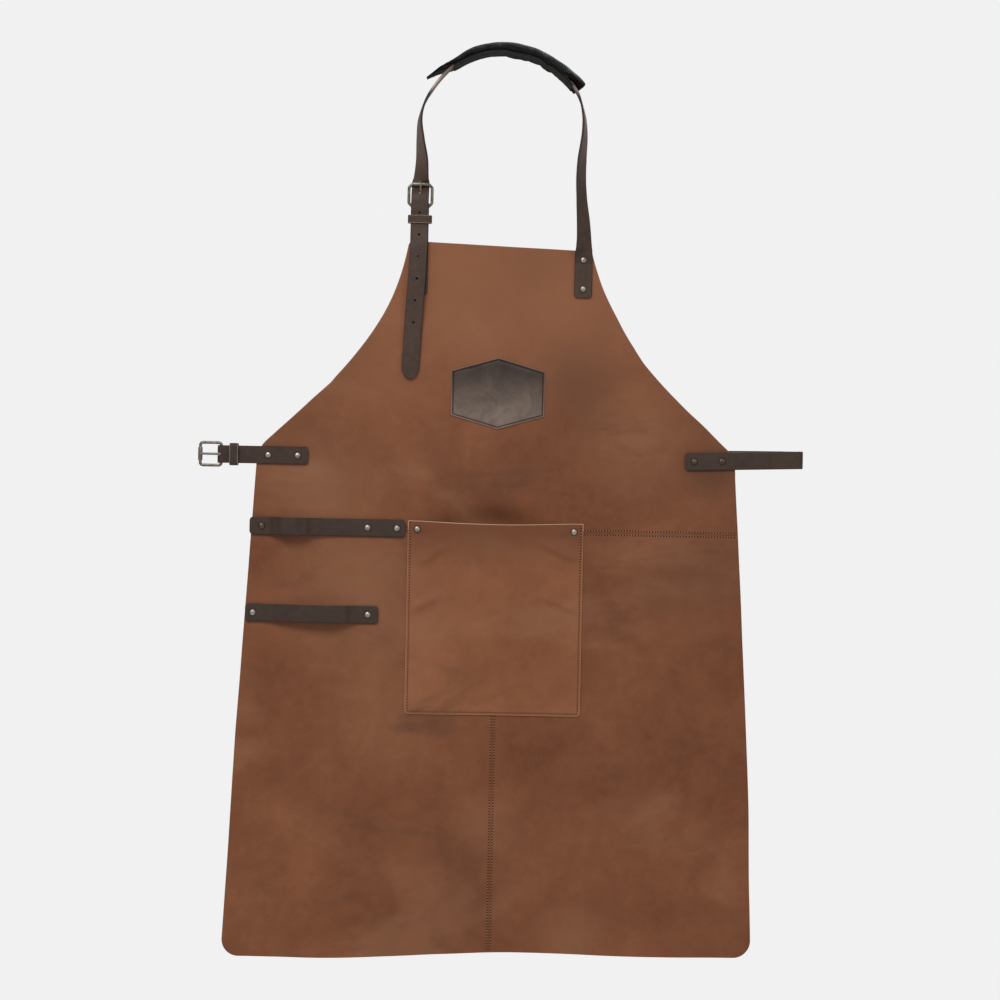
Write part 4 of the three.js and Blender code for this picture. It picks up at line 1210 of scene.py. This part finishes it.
# The neck strap's middle line: over the hook, and all of it from its end at the right to its tail's tip.
OVER_HOOK = [
    (94.4, 0, -92), (93.6, 0, -72), (89, 0, -53), (82, 0, -38.8), (72, 0, -28), (58, 0, -15.8),
    (40, 0, -5.2), (20, 0, 1), (0, 0, 2.9), (-20, 0, 1), (-40, 0, -6), (-56, 0, -16), (-70, 0, -30),
    (-81, 0, -45), (-89, 0.2, -60), (-93.4, 0.6, -78),
]
NECK_ROUTE = [
    (NECK_X, STRAP_Y, NECK_END_Z), (NECK_X, STRAP_Y, -260), (NECK_X, STRAP_Y, -246),
    (NECK_X, STRAP_Y, -237), (NECK_X, STRAP_Y - 2.0, -229), (NECK_X, STRAP_Y - 5.0, -219),
    (95.8, STRAP_Y - 5.2, -208), (94.7, STRAP_Y - 3.4, -190), (92.6, STRAP_Y - 0.8, -166),
    (91.4, -1.6, -143), (92, -0.6, -121), *OVER_HOOK,
    (-92.6, 1.4, -100), (-90.4, 2.8, -124), (-91, 4.6, -144), (-91.3, 4.7, -149.5), (-91.35, 4.2, -153.5),
    (-91.4, 1.9, -157.3), (-91.45, -1.2, -160.4), (-91.5, -3.6, -164.5), (-91.6, -5.1, -170.5),
    (-91.7, -5.45, -177), (-91.8, TAIL_Y - 0.15, -184), (-91.8, TAIL_Y, -206),
    (-92, -7.2, -224), (-93.4, -7.8, -258), (-95.1, -7.5, -286), (-97.4, -6.2, -330),
    (-99.4, -4.6, TAIL_TIP_Z),
]

# Degrees that the strap has turned towards facing the front, at heights on its two sides.
RIGHT_TURN = [(-45, 0), (-75, 9), (-93, 16), (-121, 27), (-166, 34), (-190, 45), (-203, 50), (-213, 54),
              (-221, 62), (-228, 82), (-233, 90)]
LEFT_TURN = [(-45, 0), (-70, 6), (-88, 16), (-106, 27), (-124, 41), (-138, 50), (-145, 57), (-150.3, 86),
             (-156, 90)]


def neck_twist(p):
    """Degrees that the neck strap has turned at a point."""
    table = RIGHT_TURN if p.x > 0 else LEFT_TURN
    if p.z >= table[0][0]:
        return 0.0
    for (above, turn_above), (below, turn_below) in zip(table, table[1:]):
        if p.z > below:
            return lerp(turn_above, turn_below, (above - p.z) / (above - below))
    return table[-1][1]


# Two points on the straps, between the neck loop and the apron, in metres.
BLEND_TOP = (0, STRAP_Y * MM, -0.201)
BLEND_LOW = (0, STRAP_Y * MM, -0.2165)


def make_neck_strap():
    ribbon = Ribbon(NECK_ROUTE, Y, neck_twist)
    obj = strap("neck_strap_leather", ribbon, ends=("corners", "point"), edge=NECK_EDGE)
    tail = [p for p in ribbon.line if p.x < 0 and p.z < -176]

    def on_tail(z):
        near = min(tail, key=lambda p: abs(p.z - z))
        return (near.x, near.y, z)

    punch(obj, [on_tail(FIRST_HOLE_Z - k * HOLE_PITCH) for k in range(NECK_HOLES)], HOLE_R)
    punch(obj, [(-91.5, -2.5, -162.1)], 1.35, (0, 1.2))
    blended_strap(obj, ribbon, ("neck_loop", "apron"), BLEND_TOP, BLEND_LOW,
                  ("neck_strap", "neck_strap_end", "neck_strap_tail"))


def looped_route(along, front, back):
    """Down the front, round the heel bar, and behind: along(distance from the bar, y) gives points."""
    points = [along(d, STRAP_Y) for d in spread(front, 6, 8)]
    for degrees in range(0, 181, 15):
        a = math.radians(degrees)
        points.append(along(-HEEL_BEND_R * math.sin(a), HEEL_Y - HEEL_BEND_R * math.cos(a)))
    points += [along(4.5, HEEL_Y + HEEL_BEND_R - 1.3), along(8.5, BACK_LAYER_Y + 0.3),
               along(12, BACK_LAYER_Y), along(back, BACK_LAYER_Y)]
    return points


LEFT_HEEL_X = -312.4
LEFT_ROLLER_X = -336.4
LEFT_END_X = -213.0
LEFT_HINGE_X = -277.0
WAIST_Z = -464.0


def bend_at(x, reach):
    """Two points, as far as `reach` before and after a hinge at x, at the waist strap's height, in metres."""
    return ((x + reach) * MM, 0, WAIST_Z * MM), ((x - reach) * MM, 0, WAIST_Z * MM)


def make_buckle_straps():
    route = looped_route(lambda d, y: (BUCKLE_X, y, NECK_HEEL_Z - d), NECK_HEEL_Z - NECK_END_Z, 22)
    ribbon = Ribbon(route, X, spacing=1.2)
    obj = strap("neck_buckle_leather", ribbon, ends=("corners", "square"), spacing=1.2)
    punch(obj, [(BUCKLE_X, HEEL_Y, NECK_HEEL_Z + 1)], 1.8, (0, 3.6))
    blended_strap(obj, ribbon, ("neck_loop", "apron"), BLEND_TOP, BLEND_LOW,
                  ("neck_buckle_strap", "neck_buckle_tab"))

    route = looped_route(lambda d, y: (LEFT_HEEL_X + d, y, WAIST_Z), LEFT_END_X - LEFT_HEEL_X, 28)
    ribbon = Ribbon(route, Z, spacing=1.2)
    obj = strap("waist_buckle_leather", ribbon, ends=("corners", "square"), spacing=1.2)
    punch(obj, [(LEFT_HEEL_X - 1.8, HEEL_Y, WAIST_Z)], 1.5, (2.4, 0))
    blended_strap(obj, ribbon, ("apron", "waist_left"), *bend_at(LEFT_HINGE_X, 7),
                  ("waist_strap_left", "waist_tab_left"))


RIGHT_END_X = 216.0
RIGHT_HINGE_X = 278.0
RIGHT_SPLIT_X = 313.0
RIGHT_FOLD_X = 350.0
RIGHT_STRAP_LENGTH = 560.0
RIGHT_STRAP_SAG = 30.0


def right_strap_z(x):
    """The long waist strap's height at x, before it folds back."""
    return -462.5 + (x - RIGHT_END_X) * 0.033


def make_right_strap():
    outer = [(x, STRAP_Y, right_strap_z(x)) for x in steps(RIGHT_END_X, RIGHT_SPLIT_X, 8)]
    ribbon = Ribbon(outer, -Z)
    obj = strap("waist_strap_leather", ribbon, ends=("corners", "square"))
    blended_strap(obj, ribbon, ("apron", "waist_outer"), *bend_at(RIGHT_HINGE_X, -7),
                  ("waist_tab_right",))

    bend_y = (STRAP_Y + FOLDED_STRAP_Y) / 2
    bend_r = (FOLDED_STRAP_Y - STRAP_Y) / 2
    fold_x = RIGHT_FOLD_X - bend_r - 0.6
    route = [(x, STRAP_Y, right_strap_z(x)) for x in steps(RIGHT_SPLIT_X, fold_x - 2, 4)]
    for degrees in range(0, 181, 15):
        a = math.radians(degrees)
        route.append((fold_x + bend_r * math.sin(a), bend_y - bend_r * math.cos(a),
                      right_strap_z(RIGHT_FOLD_X)))
    for part in steps(0, 1, 24)[1:]:
        x = RIGHT_FOLD_X - 0.3 - part * RIGHT_STRAP_LENGTH
        if x < fold_x - 3:
            route.append((x, FOLDED_STRAP_Y, right_strap_z(RIGHT_FOLD_X) - RIGHT_STRAP_SAG * part ** 2))
    ribbon = Ribbon(route, -Z)
    obj = strap("waist_strap_fold_leather", ribbon, ends=("square", "point"))
    places = []
    for k in range(WAIST_HOLES):
        p, _, _ = ribbon.station(ribbon.length - WAIST_TIP_TO_HOLE - k * HOLE_PITCH)
        places.append(tuple(p))
    punch(obj, places, HOLE_R)
    fold = RIGHT_FOLD_X * MM
    blended_strap(obj, ribbon, ("waist_outer", "waist_folded"), (fold, (STRAP_Y + STRAP_T / 2) * MM, 0),
                  (fold, (FOLDED_STRAP_Y - STRAP_T / 2) * MM, 0),
                  ("waist_strap_outer", "waist_strap_folded"), held="folded")


# Each tool strap's height and two ends, and how far it stands open from the apron, as (x, stand).
TOOL_STRAPS = {
    "upper": {"z": -544.7, "left": -278.5, "right": -101.0,
              "stand": [(-170, 0), (-192, 0.8), (-207, 3.6), (-216, 9), (-227, 13), (-239, 11),
                        (-249, 4), (-256, 0)]},
    "lower": {"z": -643.8, "left": -282.0, "right": -130.0,
              "stand": [(-151, 0), (-160, 2.4), (-170, 8.5), (-182, 13), (-198, 13.5), (-217, 10.5),
                        (-236, 5.5), (-254, 1.2), (-264, 0)]},
}


def make_tool_straps():
    for name, data in TOOL_STRAPS.items():
        route = []
        for x in steps(data["left"], data["right"], 44):
            stand = along_table(data["stand"], x)
            route.append((x, drape(x, data["z"]) + TOOL_STRAP_Y - stand, data["z"]))
        ribbon = Ribbon(route, -Z)
        obj = strap(f"tool_strap_{name}_leather", ribbon, ends=("corners", "corners"))
        hang(obj, "apron", "strap_leather", f"tool_strap_{name}")


# ------------------------------------------------------------------ buckles, keepers and rivets


def loop_sweep(name, path, section_of, kinds, materials, sharp=48):
    """Sweeps a section round a closed path. section_of(k) gives the ring of points at path point k."""
    piece = Piece(name)
    rings = [[piece.point(p) for p in section_of(k)] for k in range(len(path))]
    for k, ring in enumerate(rings):
        piece.join(ring, rings[(k + 1) % len(rings)], kinds, closed=True)
    return piece.make(materials, sharp)


def rounded_loop(corners, radius, per_corner=6):
    """A closed 2-D path round a convex polygon with rounded corners."""
    path = []
    count = len(corners)
    for k in range(count):
        here = Vector(corners[k])
        before = (Vector(corners[k - 1]) - here).normalized()
        after = (Vector(corners[(k + 1) % count]) - here).normalized()
        reach = radius / math.tan(before.angle(after) / 2)
        start, end = here + before * reach, here + after * reach
        for t in steps(0, 1, per_corner):
            path.append(start.lerp(here, t).lerp(here.lerp(end, t), t))
    return path


def dense(path, spacing):
    """A closed path with points no further apart than spacing."""
    out = []
    for a, b in zip(path, path[1:] + path[:1]):
        count = max(1, math.ceil((b - a).length / spacing))
        out += [a.lerp(b, i / count) for i in range(count)]
    return out


def outward(path, k):
    """The direction that faces out of a closed 2-D path at its point k."""
    way = (path[(k + 1) % len(path)] - path[k - 1]).normalized()
    return Vector((way.y, -way.x))


def chamfered(half, span):
    """A frame's outline with its four corners cut off."""
    cut, bend_r = 3.8, 2.6
    right = [(half - cut, 0), (half, cut), (half, span - cut), (half - cut, span)]
    return rounded_loop(right + [(-x, z) for x, z in right[::-1]], bend_r)


def rounded(half, span):
    """A frame's outline with four round corners."""
    bend_r = 3.6
    return rounded_loop([(half, 0), (half, span), (-half, span), (-half, 0)], bend_r)


# How squared a frame's wire is, where 2 would be round, and its depth as a share of its width.
FRAME_SQUARE = 2.8
FRAME_DEPTH = 0.94
ROLLER_PLAY = 0.1
PRONG_HALF_W = 1.35
PRONG_HALF_T = 0.85
KEEPER_T = 1.9


def make_buckle(prefix, place, span, outline, roller_length, frame_body, roller_body, prong_body):
    """A wire frame with a roller and a prong. place turns local points into apron ones."""
    path = dense(outline, 1.2)

    def ring(k):
        out = outward(path, k)
        points = []
        for c, s in circle(16):
            squash = (abs(c) ** FRAME_SQUARE + abs(s) ** FRAME_SQUARE) ** (-1 / FRAME_SQUARE)
            p = path[k] + out * (FRAME_R * c * squash)
            points.append(place(p.x, FRAME_R * FRAME_DEPTH * s * squash, p.y))
        return points

    obj = loop_sweep(f"{prefix}_frame_metal", path, ring, 0, [NICKEL], 60)
    hang(obj, frame_body, "nickel", f"{prefix}_frame")

    bore, outer = FRAME_R + ROLLER_PLAY, ROLLER_R
    piece = Piece(f"{prefix}_roller_metal")
    profile = [(outer, 0.4), (outer, 0.95), (outer - 0.1, 0.985), (outer - 0.35, 1), (bore, 1)]
    profile = [(r, -x) for r, x in profile[::-1]] + profile
    around = steps(math.radians(8), math.radians(360), 40)
    seam = [[piece.point(place(x * roller_length / 2, r * math.cos(a), span + r * math.sin(a)))
             for r, x in profile] for a in around]
    piece.tube(seam)
    obj = piece.make([NICKEL], 35)
    hang(obj, roller_body, "nickel", f"{prefix}_roller")

    ring_r = WIRE_R + 1.05
    tip_y = -(ROLLER_R + 1.2)
    route = []
    for degrees in range(-60, 181, 15):
        a = math.radians(degrees)
        route.append((0, ring_r * math.cos(a), -ring_r * math.sin(a)))
    route += [(0, -ring_r - 0.1, 3), (0, (tip_y - ring_r) / 2, span / 2), (0, tip_y, span - 2),
              (0, tip_y + 0.15, span + 1.2), (0, tip_y + 0.6, span + 2.5)]
    ribbon = Ribbon(route, X, spacing=0.7)
    piece = Piece(f"{prefix}_prong_metal")
    rings = []
    for mark in steps(0, ribbon.length, round(ribbon.length / 0.7)):
        p, u, v = ribbon.station(mark)
        tip = ribbon.length - mark
        wide = PRONG_HALF_W * lerp(0.35, 1, math.sqrt(clamp(tip / 1.8))) * lerp(0.86, 1, clamp(tip / 16))
        deep = PRONG_HALF_T * lerp(0.45, 1, math.sqrt(clamp(tip / 1.4)))
        rings.append([piece.point(place(*(p + u * (wide * c) + v * (deep * s)))) for c, s in circle(14)])
    piece.tube(rings)
    hang(piece.make([NICKEL], 60), prong_body, "nickel", f"{prefix}_prong")


def make_buckles():
    def neck(x, y, z):
        return (BUCKLE_X + x, HEEL_Y + y, NECK_HEEL_Z + z)

    def waist(x, y, z):
        return (LEFT_HEEL_X - z, HEEL_Y + y, WAIST_Z + x)

    span = NECK_ROLLER_Z - NECK_HEEL_Z
    make_buckle("neck_buckle", neck, span, chamfered(13.2, span), 17.6,
                "neck_loop", "neck_roller", "neck_prong")
    span = LEFT_HEEL_X - LEFT_ROLLER_X
    make_buckle("waist_buckle", waist, span, rounded(12.9, span), 15,
                "waist_frame", "waist_roller", "waist_prong")


def make_keeper(name, node, body, center, across, along, width):
    """A leather band bent into a rounded rectangle round its CAD solid's middle line."""
    low, high = extent(node)
    axis = 0 if across == X else 2
    half = (high[axis] - low[axis]) / 2 - KEEPER_T / 2
    front, back = low[1] + KEEPER_T / 2, high[1] - KEEPER_T / 2
    middle_line = (low[axis] + high[axis]) / 2
    path = dense(rounded_loop([(-half, front), (half, front), (half, back), (-half, back)], 2.4, 8), 1.0)
    section = strap_section(width, KEEPER_T, 0.5, 0.1)

    def ring(k):
        out = outward(path, k)
        points = []
        for u, v, _ in section:
            wave = 0.25 * noise.noise(Vector((k * 0.09, 1.7 if u > 0 else -3.1, 0)))
            share = abs(u) / (width / 2)
            flat = path[k] - out * v
            point = across * (middle_line + flat.x) + Y * flat.y + along * (center + u + wave * share)
            points.append(point)
        return points

    obj = loop_sweep(name, path, ring, lambda k: section[k][2], [STRAP, STRAP_BACK, KEEPER_EDGE])
    hang(obj, body, "strap_leather", node)


def make_keepers():
    for node, body, across, along in (("neck_keeper", "neck_keeper_loop", X, Z),
                                      ("waist_keeper", "waist_keeper_loop", Z, X)):
        low, high = extent(node)
        axis = 2 if across == X else 0
        make_keeper(f"{node}_leather", node, body, (low[axis] + high[axis]) / 2, across, along,
                    high[axis] - low[axis])


# A cap's outline, (radius, height over the leather), from its top over its groove and its rolled rim.
CAP_PROFILE = [(0, 1.62), (0.9, 1.59), (1.8, 1.45), (2.5, 1.2), (2.95, 0.92), (3.12, 0.76), (3.3, 0.7),
               (3.52, 0.8), (3.78, 0.76), (3.97, 0.52), (4.0, 0.28), (3.86, 0.06), (3.6, 0)]
DOME_RINGS = 4
POST_R = 1.4
BACK_CAP_H = 2.1
RIVET_LEAN = 0.05
BROWNED_RIVETS = ("tool_upper_rivet_1", "waist_right_rivet_1", "waist_right_rivet_2")


def make_rivets():
    """Each rivet is a domed cap with a rolled rim, a post through the layers, and a matching back."""
    rng = random.Random(7)
    for cap_node in sorted(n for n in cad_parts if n.endswith("_cap")):
        base_name = cap_node[:-4]
        post_node = base_name + "_post"
        x, _, z = middle(cap_node)
        front = extent(cap_node)[1][1] + (0.66 if base_name.startswith("pocket") else 0.3)
        back = extent(post_node)[1][1] - BACK_CAP_H
        lean_x, lean_z = (Matrix.Rotation(rng.uniform(-RIVET_LEAN, RIVET_LEAN), 3, axis) for axis in (X, Z))
        tilt = lean_x @ lean_z
        profile = [(r, front - h) for r, h in CAP_PROFILE] + [(POST_R, front + 0.1)]
        profile += [(POST_R, back - 0.1)] + [(r, back + h) for r, h in CAP_PROFILE[::-1]]
        piece = Piece(base_name)
        center = Vector((x, front, z))
        rows = []
        for r, y in profile:
            if r == 0:
                rows.append([piece.point(center + tilt @ (Vector((x, y, z)) - center))])
                continue
            rows.append([
                piece.point(center + tilt @ Vector((r * c, y - front, r * s))) for c, s in circle(36)
            ])
        for level, (here, there) in enumerate(zip(rows, rows[1:])):
            ring = min(level, len(rows) - 2 - level)
            # the groove, rim, post and the back's rim take the darker nickel, which partly paints the shadow
            # round the cap's foot
            kind = 1 if ring > DOME_RINGS else 0
            if len(here) == 1 or len(there) == 1:
                tip, rim = (here, there) if len(here) == 1 else (there, here)
                for k in range(len(rim)):
                    piece.face((rim[k], rim[(k + 1) % len(rim)], tip[0]), kind)
            else:
                piece.join(here, there, kind, closed=True)
        metal = CAP_BROWNED if base_name in BROWNED_RIVETS else rng.choice(CAPS)
        hang(piece.make([metal, TARNISH_AND_SHADE_NICKEL], 50), "apron", "nickel", cap_node, post_node)


# ------------------------------------------------------------------ neck pad

# Along the pad, by x: how high its crown stands over the strap, and how far its lips hang below it.
PAD_CROWN = [(96, 11.5), (84, 12.4), (71, 10.4), (55, 8.4), (17, 8.0), (0, 8.2), (-31, 7.4), (-58, 4.4),
             (-66, 2.0), (-90, 1.15)]
PAD_BACK_LIP = [(96, 2.6), (84, 2.2), (71, 2.0), (55, 3.5), (17, 3.6), (0, 2.4), (-31, 1.9), (-58, 1.3),
                (-66, 0.7), (-90, 0.4)]
PAD_FRONT_LIP = [(96, -8.5), (84, -6.0), (74, -2.0), (64, 2.6), *PAD_BACK_LIP[3:]]
PAD_HALF = 28.0
PAD_SKIN = 2.4
PAD_TONGUE = 32.0
LINING_HALF = PAD_HALF - 2.1


def lip_wave(x):
    """How the pad's lips wave up and down along it."""
    return 1.5 * noise.noise(Vector((x / 9, 2.6, 7.0))) + 0.5 * noise.noise(Vector((x / 3.5, 9.1, 4.0)))


def pad_stations(end_z, spacing):
    """Stations along the pad, from its open mouth at the right to the tip of its tongue."""
    route = OVER_HOOK[1:11] + [(-56, 0, -14.8), (-70, 0, -21.2), (-87, 0, -31)]
    ribbon = Ribbon(route, Y, spacing=1.5)
    marks = steps(0, ribbon.length, round(ribbon.length / spacing))
    stations = [(m, *ribbon.station(m)) for m in marks]
    return [s for s in stations if s[1].z > end_z or s[1].x < 60]


def pad_outer(share, crown, lips, half):
    """A point of the cover's outer line; share runs from -1, the front lip's edge, to 1, the back one's."""
    side = 1 if share >= 0 else -1
    lip = lips[side > 0]
    eave = min(0.6, lip - 0.6)
    s = abs(share)
    roof = 0.68
    if s < roof:
        u = half * (s / roof) * 0.97
        v = -crown + (crown + eave) * (s / roof) ** 2.7
    else:
        t = (s - roof) / (1 - roof)
        u = half * (0.97 + 0.03 * math.sin(math.pi * t))
        v = eave + (lip - eave) * t
    return side * u, v


def make_pad_cover():
    stations = pad_stations(-42.5, 1.7)
    shares = steps(-1, 1, 64)
    first, last = stations[0][0], stations[-1][0]
    piece = Piece("neck_pad_cover")
    outer, inner = [], []
    for mark, p, u, v in stations:
        crown = along_table(PAD_CROWN, p.x)
        wave = lip_wave(p.x) * smoothstep(-62, -54, p.x)
        lips = along_table(PAD_FRONT_LIP, p.x) + wave, along_table(PAD_BACK_LIP, p.x) + wave
        reach = clamp((last - mark) / PAD_TONGUE)
        half = PAD_HALF * lerp(0.14, 1, smoothstep(-0.6, 1, reach) * 1.22 - 0.22)
        half *= 1 - 0.1 * (1 - smoothstep(0, 16, mark - first))
        line = [pad_outer(s, crown, lips, half) for s in shares]
        out_row, in_row = [], []
        for k, (a, b) in enumerate(line):
            before, after = line[max(k - 1, 0)], line[min(k + 1, len(line) - 1)]
            way = Vector((after[0] - before[0], after[1] - before[1])).normalized()
            inwards = Vector((-way.y, way.x))
            skin = min(PAD_SKIN, crown * 0.8) * (0.55 if k in (0, len(line) - 1) else 1)
            out_row.append(piece.point(p + u * a + v * b))
            in_row.append(piece.point(p + u * (a + inwards.x * skin) + v * (b + inwards.y * skin)))
        outer.append(out_row)
        inner.append(in_row)
    piece.slab(outer, inner, 1)
    obj = piece.make([PAD, PAD_LINING], 80)
    puff(obj, cap=1.6, pressure=3.0)
    crinkle(obj, 0.7, 1.9)
    modifier = obj.modifiers.new("round", "SUBSURF")
    modifier.levels = modifier.render_levels = 1
    finish_modifiers(obj)
    tidy_normals(obj, 80)
    hang(obj, "neck_loop", "pad_leather", "neck_pad")


def puff(obj, cap, pressure):
    """Swells a soft piece from inside with cloth under pressure; no point moves further than cap."""
    frames = 18
    start = [v.co.copy() for v in obj.data.vertices]
    cloth = obj.modifiers.new("puff", "CLOTH")
    cloth.settings.quality = 6
    cloth.settings.mass = 0.3
    cloth.settings.tension_stiffness = 20
    cloth.settings.compression_stiffness = 20
    cloth.settings.shear_stiffness = 12
    cloth.settings.bending_stiffness = 3
    cloth.settings.use_pressure = True
    cloth.settings.uniform_pressure_force = pressure
    cloth.settings.effector_weights.gravity = 0
    cloth.collision_settings.use_collision = False
    scene = bpy.context.scene
    cloth.point_cache.frame_start = 1
    cloth.point_cache.frame_end = frames + 2
    for number in range(1, frames + 1):
        scene.frame_set(number)
    finish_modifiers(obj)
    scene.frame_set(1)
    for vertex, before in zip(obj.data.vertices, start):
        moved = vertex.co - before
        if moved.length > cap * MM:
            vertex.co = before + moved * (cap * MM / moved.length)


def crinkle(obj, roof, lips):
    """Creases a soft piece: shallow over the strap, deeper where its lips hang below it."""
    mesh = obj.data
    normals = [v.normal.copy() for v in mesh.vertices]
    for vertex, normal in zip(mesh.vertices, normals):
        x, y, z = vertex.co / MM
        lip = smoothstep(19, 28, abs(y))
        broad = noise.noise(Vector((x / 13, y / 26, z / 15 + 4)))
        sharp = noise.noise(Vector((x / 6.5, y / 15, z / 8 - 9)))
        ridged = 0.5 - abs(sharp)
        height = lerp(roof * 0.5, lips * 0.55, lip) * broad + lerp(roof * 0.25, lips * 0.45, lip) * ridged
        vertex.co += normal * (height * MM)


def make_pad_lining():
    stations = [s for s in pad_stations(-38, 1.5) if s[1].x > -59]
    piece = Piece("neck_pad_underside")
    tops, lows = [], []
    for mark, p, u, v in stations:
        lip = along_table(PAD_BACK_LIP, p.x) + lip_wave(p.x)
        top_row, low_row = [], []
        for a in steps(-1, 1, 40):
            reach = abs(a)
            hang_down = 2.2 + max(lip - 2.6, 0) * smoothstep(0.5, 1, reach) ** 1.4
            broad = noise.noise(Vector((mark / 9, a * 2.2, 31)))
            sharp = 0.5 - abs(noise.noise(Vector((mark / 4.5, a * 3.1, 12))))
            drop = hang_down + (0.75 * broad + 0.8 * sharp) * smoothstep(1.02, 0.85, reach) + 0.35
            wide = a * LINING_HALF
            top_row.append(piece.point(p + u * wide + v * (max(drop, 1.8) - 0.2)))
            low_row.append(piece.point(p + u * wide + v * (max(drop, 1.8) + 1.1)))
        tops.append(top_row)
        lows.append(low_row)
    piece.slab(tops, lows)
    obj = piece.make([PAD_LINING], 70)
    hang(obj, "neck_loop", "pad_lining", "neck_pad_lining")


# ------------------------------------------------------------------ studio


def make_camera():
    camera = bpy.data.objects.new("camera", bpy.data.cameras.new("camera"))
    bpy.context.scene.collection.objects.link(camera)
    distance, view_width, sensor = 3.4, 1.14, 36.0
    camera.data.sensor_width = sensor
    camera.data.lens = sensor * distance / view_width
    camera.data.dof.use_dof = False
    camera.data.clip_end = 50
    camera.location = (0.00625, -distance, -0.5101)
    turn = Matrix.Rotation(math.radians(-1.15), 4, "Y") @ Matrix.Rotation(math.radians(90), 4, "X")
    camera.rotation_euler = turn.to_euler()
    bpy.context.scene.camera = camera


def make_floor():
    """A round pale floor, well below the hem."""
    radius, floor_z = 1700, -1450
    piece = Piece("floor")
    rings = []
    for share, drop in ((0.02, 0), (0.5, 0), (0.96, 0), (0.99, 6), (1, 20), (0.99, 40), (0.02, 40)):
        reach = radius * share
        rings.append([piece.point((reach * c, reach * s, floor_z - drop)) for c, s in circle(96)])
    piece.tube(rings)
    paper = Shader("pale_floor", roughness=0.9, specular=0.1)
    tint = paper.ramp(paper.noise(1.2, 3, 0.5), 0.2, 0.8)
    paper.bump([(paper.noise(800, 2, 0.5), 0.02)])
    piece.make([paper.finish(paper.mix(tint, srgb(226, 226, 226), srgb(232, 232, 232)))])


def add_area(name, location, target, size, power):
    light = bpy.data.lights.new(name, "AREA")
    light.shape = "RECTANGLE"
    light.size, light.size_y = size
    light.energy = power
    obj = bpy.data.objects.new(name, light)
    bpy.context.scene.collection.objects.link(obj)
    obj.location = location
    obj.rotation_euler = (Vector(target) - Vector(location)).to_track_quat("-Z", "Y").to_euler()


def make_world(shown, cast):
    """A plain pale surround: `shown` is how bright it looks, and `cast` how much light it sheds."""
    world = bpy.data.worlds.new("studio")
    world.use_nodes = True
    tree = world.node_tree
    light = tree.nodes["Background"]
    light.inputs["Strength"].default_value = cast
    surround = tree.nodes.new("ShaderNodeBackground")
    surround.inputs["Strength"].default_value = shown
    for node in (light, surround):
        node.inputs["Color"].default_value = (1, 1, 1, 1)
    mix = tree.nodes.new("ShaderNodeMixShader")
    tree.links.new(tree.nodes.new("ShaderNodeLightPath").outputs["Is Camera Ray"], mix.inputs[0])
    tree.links.new(light.outputs[0], mix.inputs[1])
    tree.links.new(surround.outputs[0], mix.inputs[2])
    tree.links.new(mix.outputs[0], tree.nodes["World Output"].inputs["Surface"])
    bpy.context.scene.world = world


def make_lights():
    make_world(0.88, 0.43)
    bpy.context.scene.view_settings.view_transform = "Standard"
    add_area("key", (-0.8, -2.7, 1.7), (0, 0, -0.5), (1.4, 1.4), 62)
    add_area("fill", (1.9, -2.6, 0.5), (0, 0, -0.6), (1.2, 1.6), 10)
    add_area("back", (0.6, 2.6, 1.2), (0, 0, -0.5), (1.6, 1.6), 34)


make_camera()
make_neck_strap()
make_buckle_straps()
make_right_strap()
make_panels()
make_seams()
make_pocket()
make_badge()
make_tool_straps()
make_buckles()
make_keepers()
make_rivets()
make_pad_cover()
make_pad_lining()
make_floor()
make_lights()
